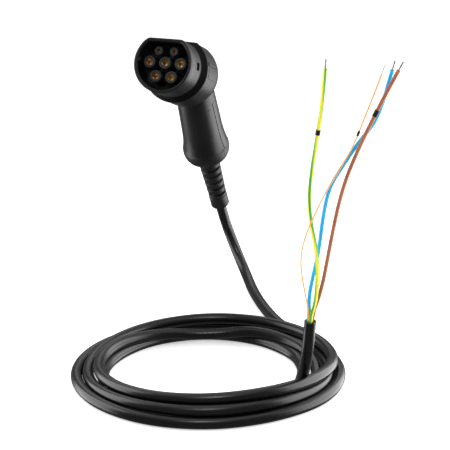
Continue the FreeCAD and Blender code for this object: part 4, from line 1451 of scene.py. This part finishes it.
def all_cores() -> list[Core]:
    """The four cores with their routes in metres."""
    return [
        Core("green_yellow", StripedInsulation(), 0.0037, -70.0, 1.0, (
            (0.1257, -0.0518, 0.1118), (0.1279, -0.0532, 0.1383), (0.1267, -0.0545, 0.1652),
            (0.1209, -0.0545, 0.1890), (0.1178, -0.0525, 0.2142), (0.1196, -0.0508, 0.2389),
            (0.1230, -0.0496, 0.2637), (0.1265, -0.0485, 0.2902), (0.1286, -0.0478, 0.3135),
            (0.1301, -0.0472, 0.3365)), True),
        Core("orange", ORANGE_CORE, 0.0014, -130.0, 1.3, (
            (0.1195, -0.0571, 0.1099), (0.1160, -0.0593, 0.1301), (0.1130, -0.0614, 0.1521),
            (0.1156, -0.0616, 0.1730), (0.1223, -0.0602, 0.1928), (0.1334, -0.0541, 0.2202),
            (0.1474, -0.0487, 0.2465), (0.1567, -0.0423, 0.2647), (0.1643, -0.0360, 0.2891),
            (0.1731, -0.0308, 0.3150), (0.1779, -0.0281, 0.3306)), True),
        Core("blue", BLUE_CORE, 0.0037, 170.0, 1.0, (
            (0.1183, -0.0488, 0.1170), (0.1219, -0.0469, 0.1390), (0.1264, -0.0453, 0.1623),
            (0.1296, -0.0463, 0.1932), (0.1355, -0.0474, 0.2241), (0.1468, -0.0446, 0.2446),
            (0.1605, -0.0357, 0.2682), (0.1708, -0.0281, 0.2813), (0.1786, -0.0243, 0.3018),
            (0.1821, -0.0225, 0.3177), (0.1862, -0.0217, 0.3340))),
        Core("brown", BROWN_CORE, 0.0037, 50.0, 1.0, (
            (0.1263, -0.0452, 0.1130), (0.1302, -0.0435, 0.1300), (0.1334, -0.0431, 0.1490),
            (0.1368, -0.0429, 0.1698), (0.1429, -0.0435, 0.2036), (0.1501, -0.0438, 0.2321),
            (0.1591, -0.0412, 0.2570), (0.1683, -0.0370, 0.2798), (0.1816, -0.0309, 0.3106),
            (0.1931, -0.0255, 0.3349)), True),
    ]


@dataclass
class InnerWorks:
    """The pieces inside the closed grip, which keep their solids and get their real finish."""

    finishes: dict = field(default_factory=lambda: {
        "contact_retainer": CARRIER_BLACK,
        "retainer_screws": SCREW_ZINC,
        "cable_entry": SHEATH_BLACK,
        "cable_clamp": SCREW_ZINC,
        "lead_brown": BROWN_CORE,
        "lead_blue": BLUE_CORE,
        "lead_green_yellow": LEAD_YELLOW,
        "lead_pilot": ORANGE_CORE,
    })

    def dress(self) -> None:
        """Give each node its finish."""
        for node, finish in self.finishes.items():
            material = finish.make()
            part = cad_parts[node]
            for place in part.material_slots:
                place.material = material
            if not part.material_slots:
                part.data.materials.append(material)
            LOG.info("%s: %s", node, finish.name)


@dataclass(frozen=True)
class Softbox:
    """A soft lamp: its place, its width and height in metres and its power in watts."""

    name: str
    place: tuple[float, float, float]
    size: tuple[float, float]
    power: float

    def build(self, aim: tuple[float, float, float]) -> None:
        """Hang the lamp, pointing at a spot."""
        data = bpy.data.lights.new(self.name, "AREA")
        data.shape = "RECTANGLE"
        data.size, data.size_y = self.size
        data.energy = self.power
        lamp = link_object(self.name, data)
        lamp.location = self.place
        ahead = Vector(aim) - Vector(self.place)
        lamp.rotation_euler = ahead.to_track_quat("-Z", "Y").to_euler()
        lamp.visible_camera = False


@dataclass
class Studio:
    """Pale floor, soft lights and the camera at the photograph's place."""

    camera_place: tuple = (0.6021, -1.6964, 0.7393)
    look_down: float = 17.85
    turn: float = 19.0
    lens: float = 155.2
    aim: tuple = (0.0, 0.05, 0.22)
    lamps: Sequence[Softbox] = (
        Softbox("softbox_left", (-0.84, -0.06, 0.24), (0.8, 1.4), 11.0),
        Softbox("softbox_right", (0.74, 0.55, 0.20), (1.4, 1.3), 21.0),
        Softbox("softbox_back", (-0.50, 2.30, 1.75), (3.0, 1.4), 14.0),
        Softbox("softbox_top", (0.0, 0.4, 2.40), (4.0, 3.0), 26.0),
        Softbox("softbox_front", (0.30, -0.95, 1.25), (0.42, 0.24), 5.0),
    )
    floor_reach: float = 12.0
    floor_glow: float = 0.55
    sky_light: float = 0.18

    def build_camera(self) -> None:
        """Set the camera."""
        data = bpy.data.cameras.new("camera")
        data.lens = self.lens
        data.sensor_width = 36.0
        data.clip_end = 50.0
        camera = link_object("camera", data)
        camera.location = self.camera_place
        camera.rotation_euler = (math.radians(90.0 - self.look_down), 0.0,
                                 math.radians(self.turn))
        bpy.context.scene.camera = camera

    def build_floor(self) -> None:
        """Lay the pale floor."""
        bm = bmesh.new()
        bmesh.ops.create_grid(bm, x_segments=4, y_segments=4, size=self.floor_reach)
        mesh = close_mesh(bm, clean=False)
        material, tree = new_tree("paper_white_matt")
        place = add_node(tree, "ShaderNodeTexCoord").outputs["Object"]
        cloud = add_node(tree, "ShaderNodeTexNoise", {"Scale": 2.0}, {"Vector": place})
        colour = add_node(tree, "ShaderNodeValToRGB", None, {"Fac": cloud.outputs["Fac"]},
                          [(0.3, linear("#f6f6f6")), (0.7, linear("#f9f9f9"))])
        show_surface(tree, {"Roughness": 0.9, "Specular IOR Level": 0.1,
                            "Emission Color": linear("#ffffff"),
                            "Emission Strength": self.floor_glow},
                     {"Base Color": colour.outputs["Color"]})
        mesh.materials.append(material)
        floor = link_object("floor", mesh)
        floor.visible_glossy = False

    def build(self) -> None:
        """Build camera, floor, lights and sky."""
        self.build_camera()
        self.build_floor()
        for lamp in self.lamps:
            lamp.build(self.aim)
        world = bpy.data.worlds.new("white_studio")
        world.use_nodes = True
        sky = world.node_tree.nodes["Background"]
        sky.inputs["Color"].default_value = linear("#ffffff")
        sky.inputs["Strength"].default_value = self.sky_light
        bpy.context.scene.world = world
        bpy.context.scene.view_settings.view_transform = "Standard"


def main() -> None:
    """Build every sub-assembly in order."""
    logging.basicConfig(level=logging.INFO, format="%(name)s %(message)s")
    Studio().build()
    sleeve = StrainRelief().build()
    cable = MainCable()
    cable.build(sleeve)
    tail = cable.end_frame()
    for core in all_cores():
        core.build(tail)
    NoseShell().build()
    ContactSet().build()
    Housing().build()
    EndBoot().build()
    InnerWorks().dress()


if __name__ == "__main__":
    main()
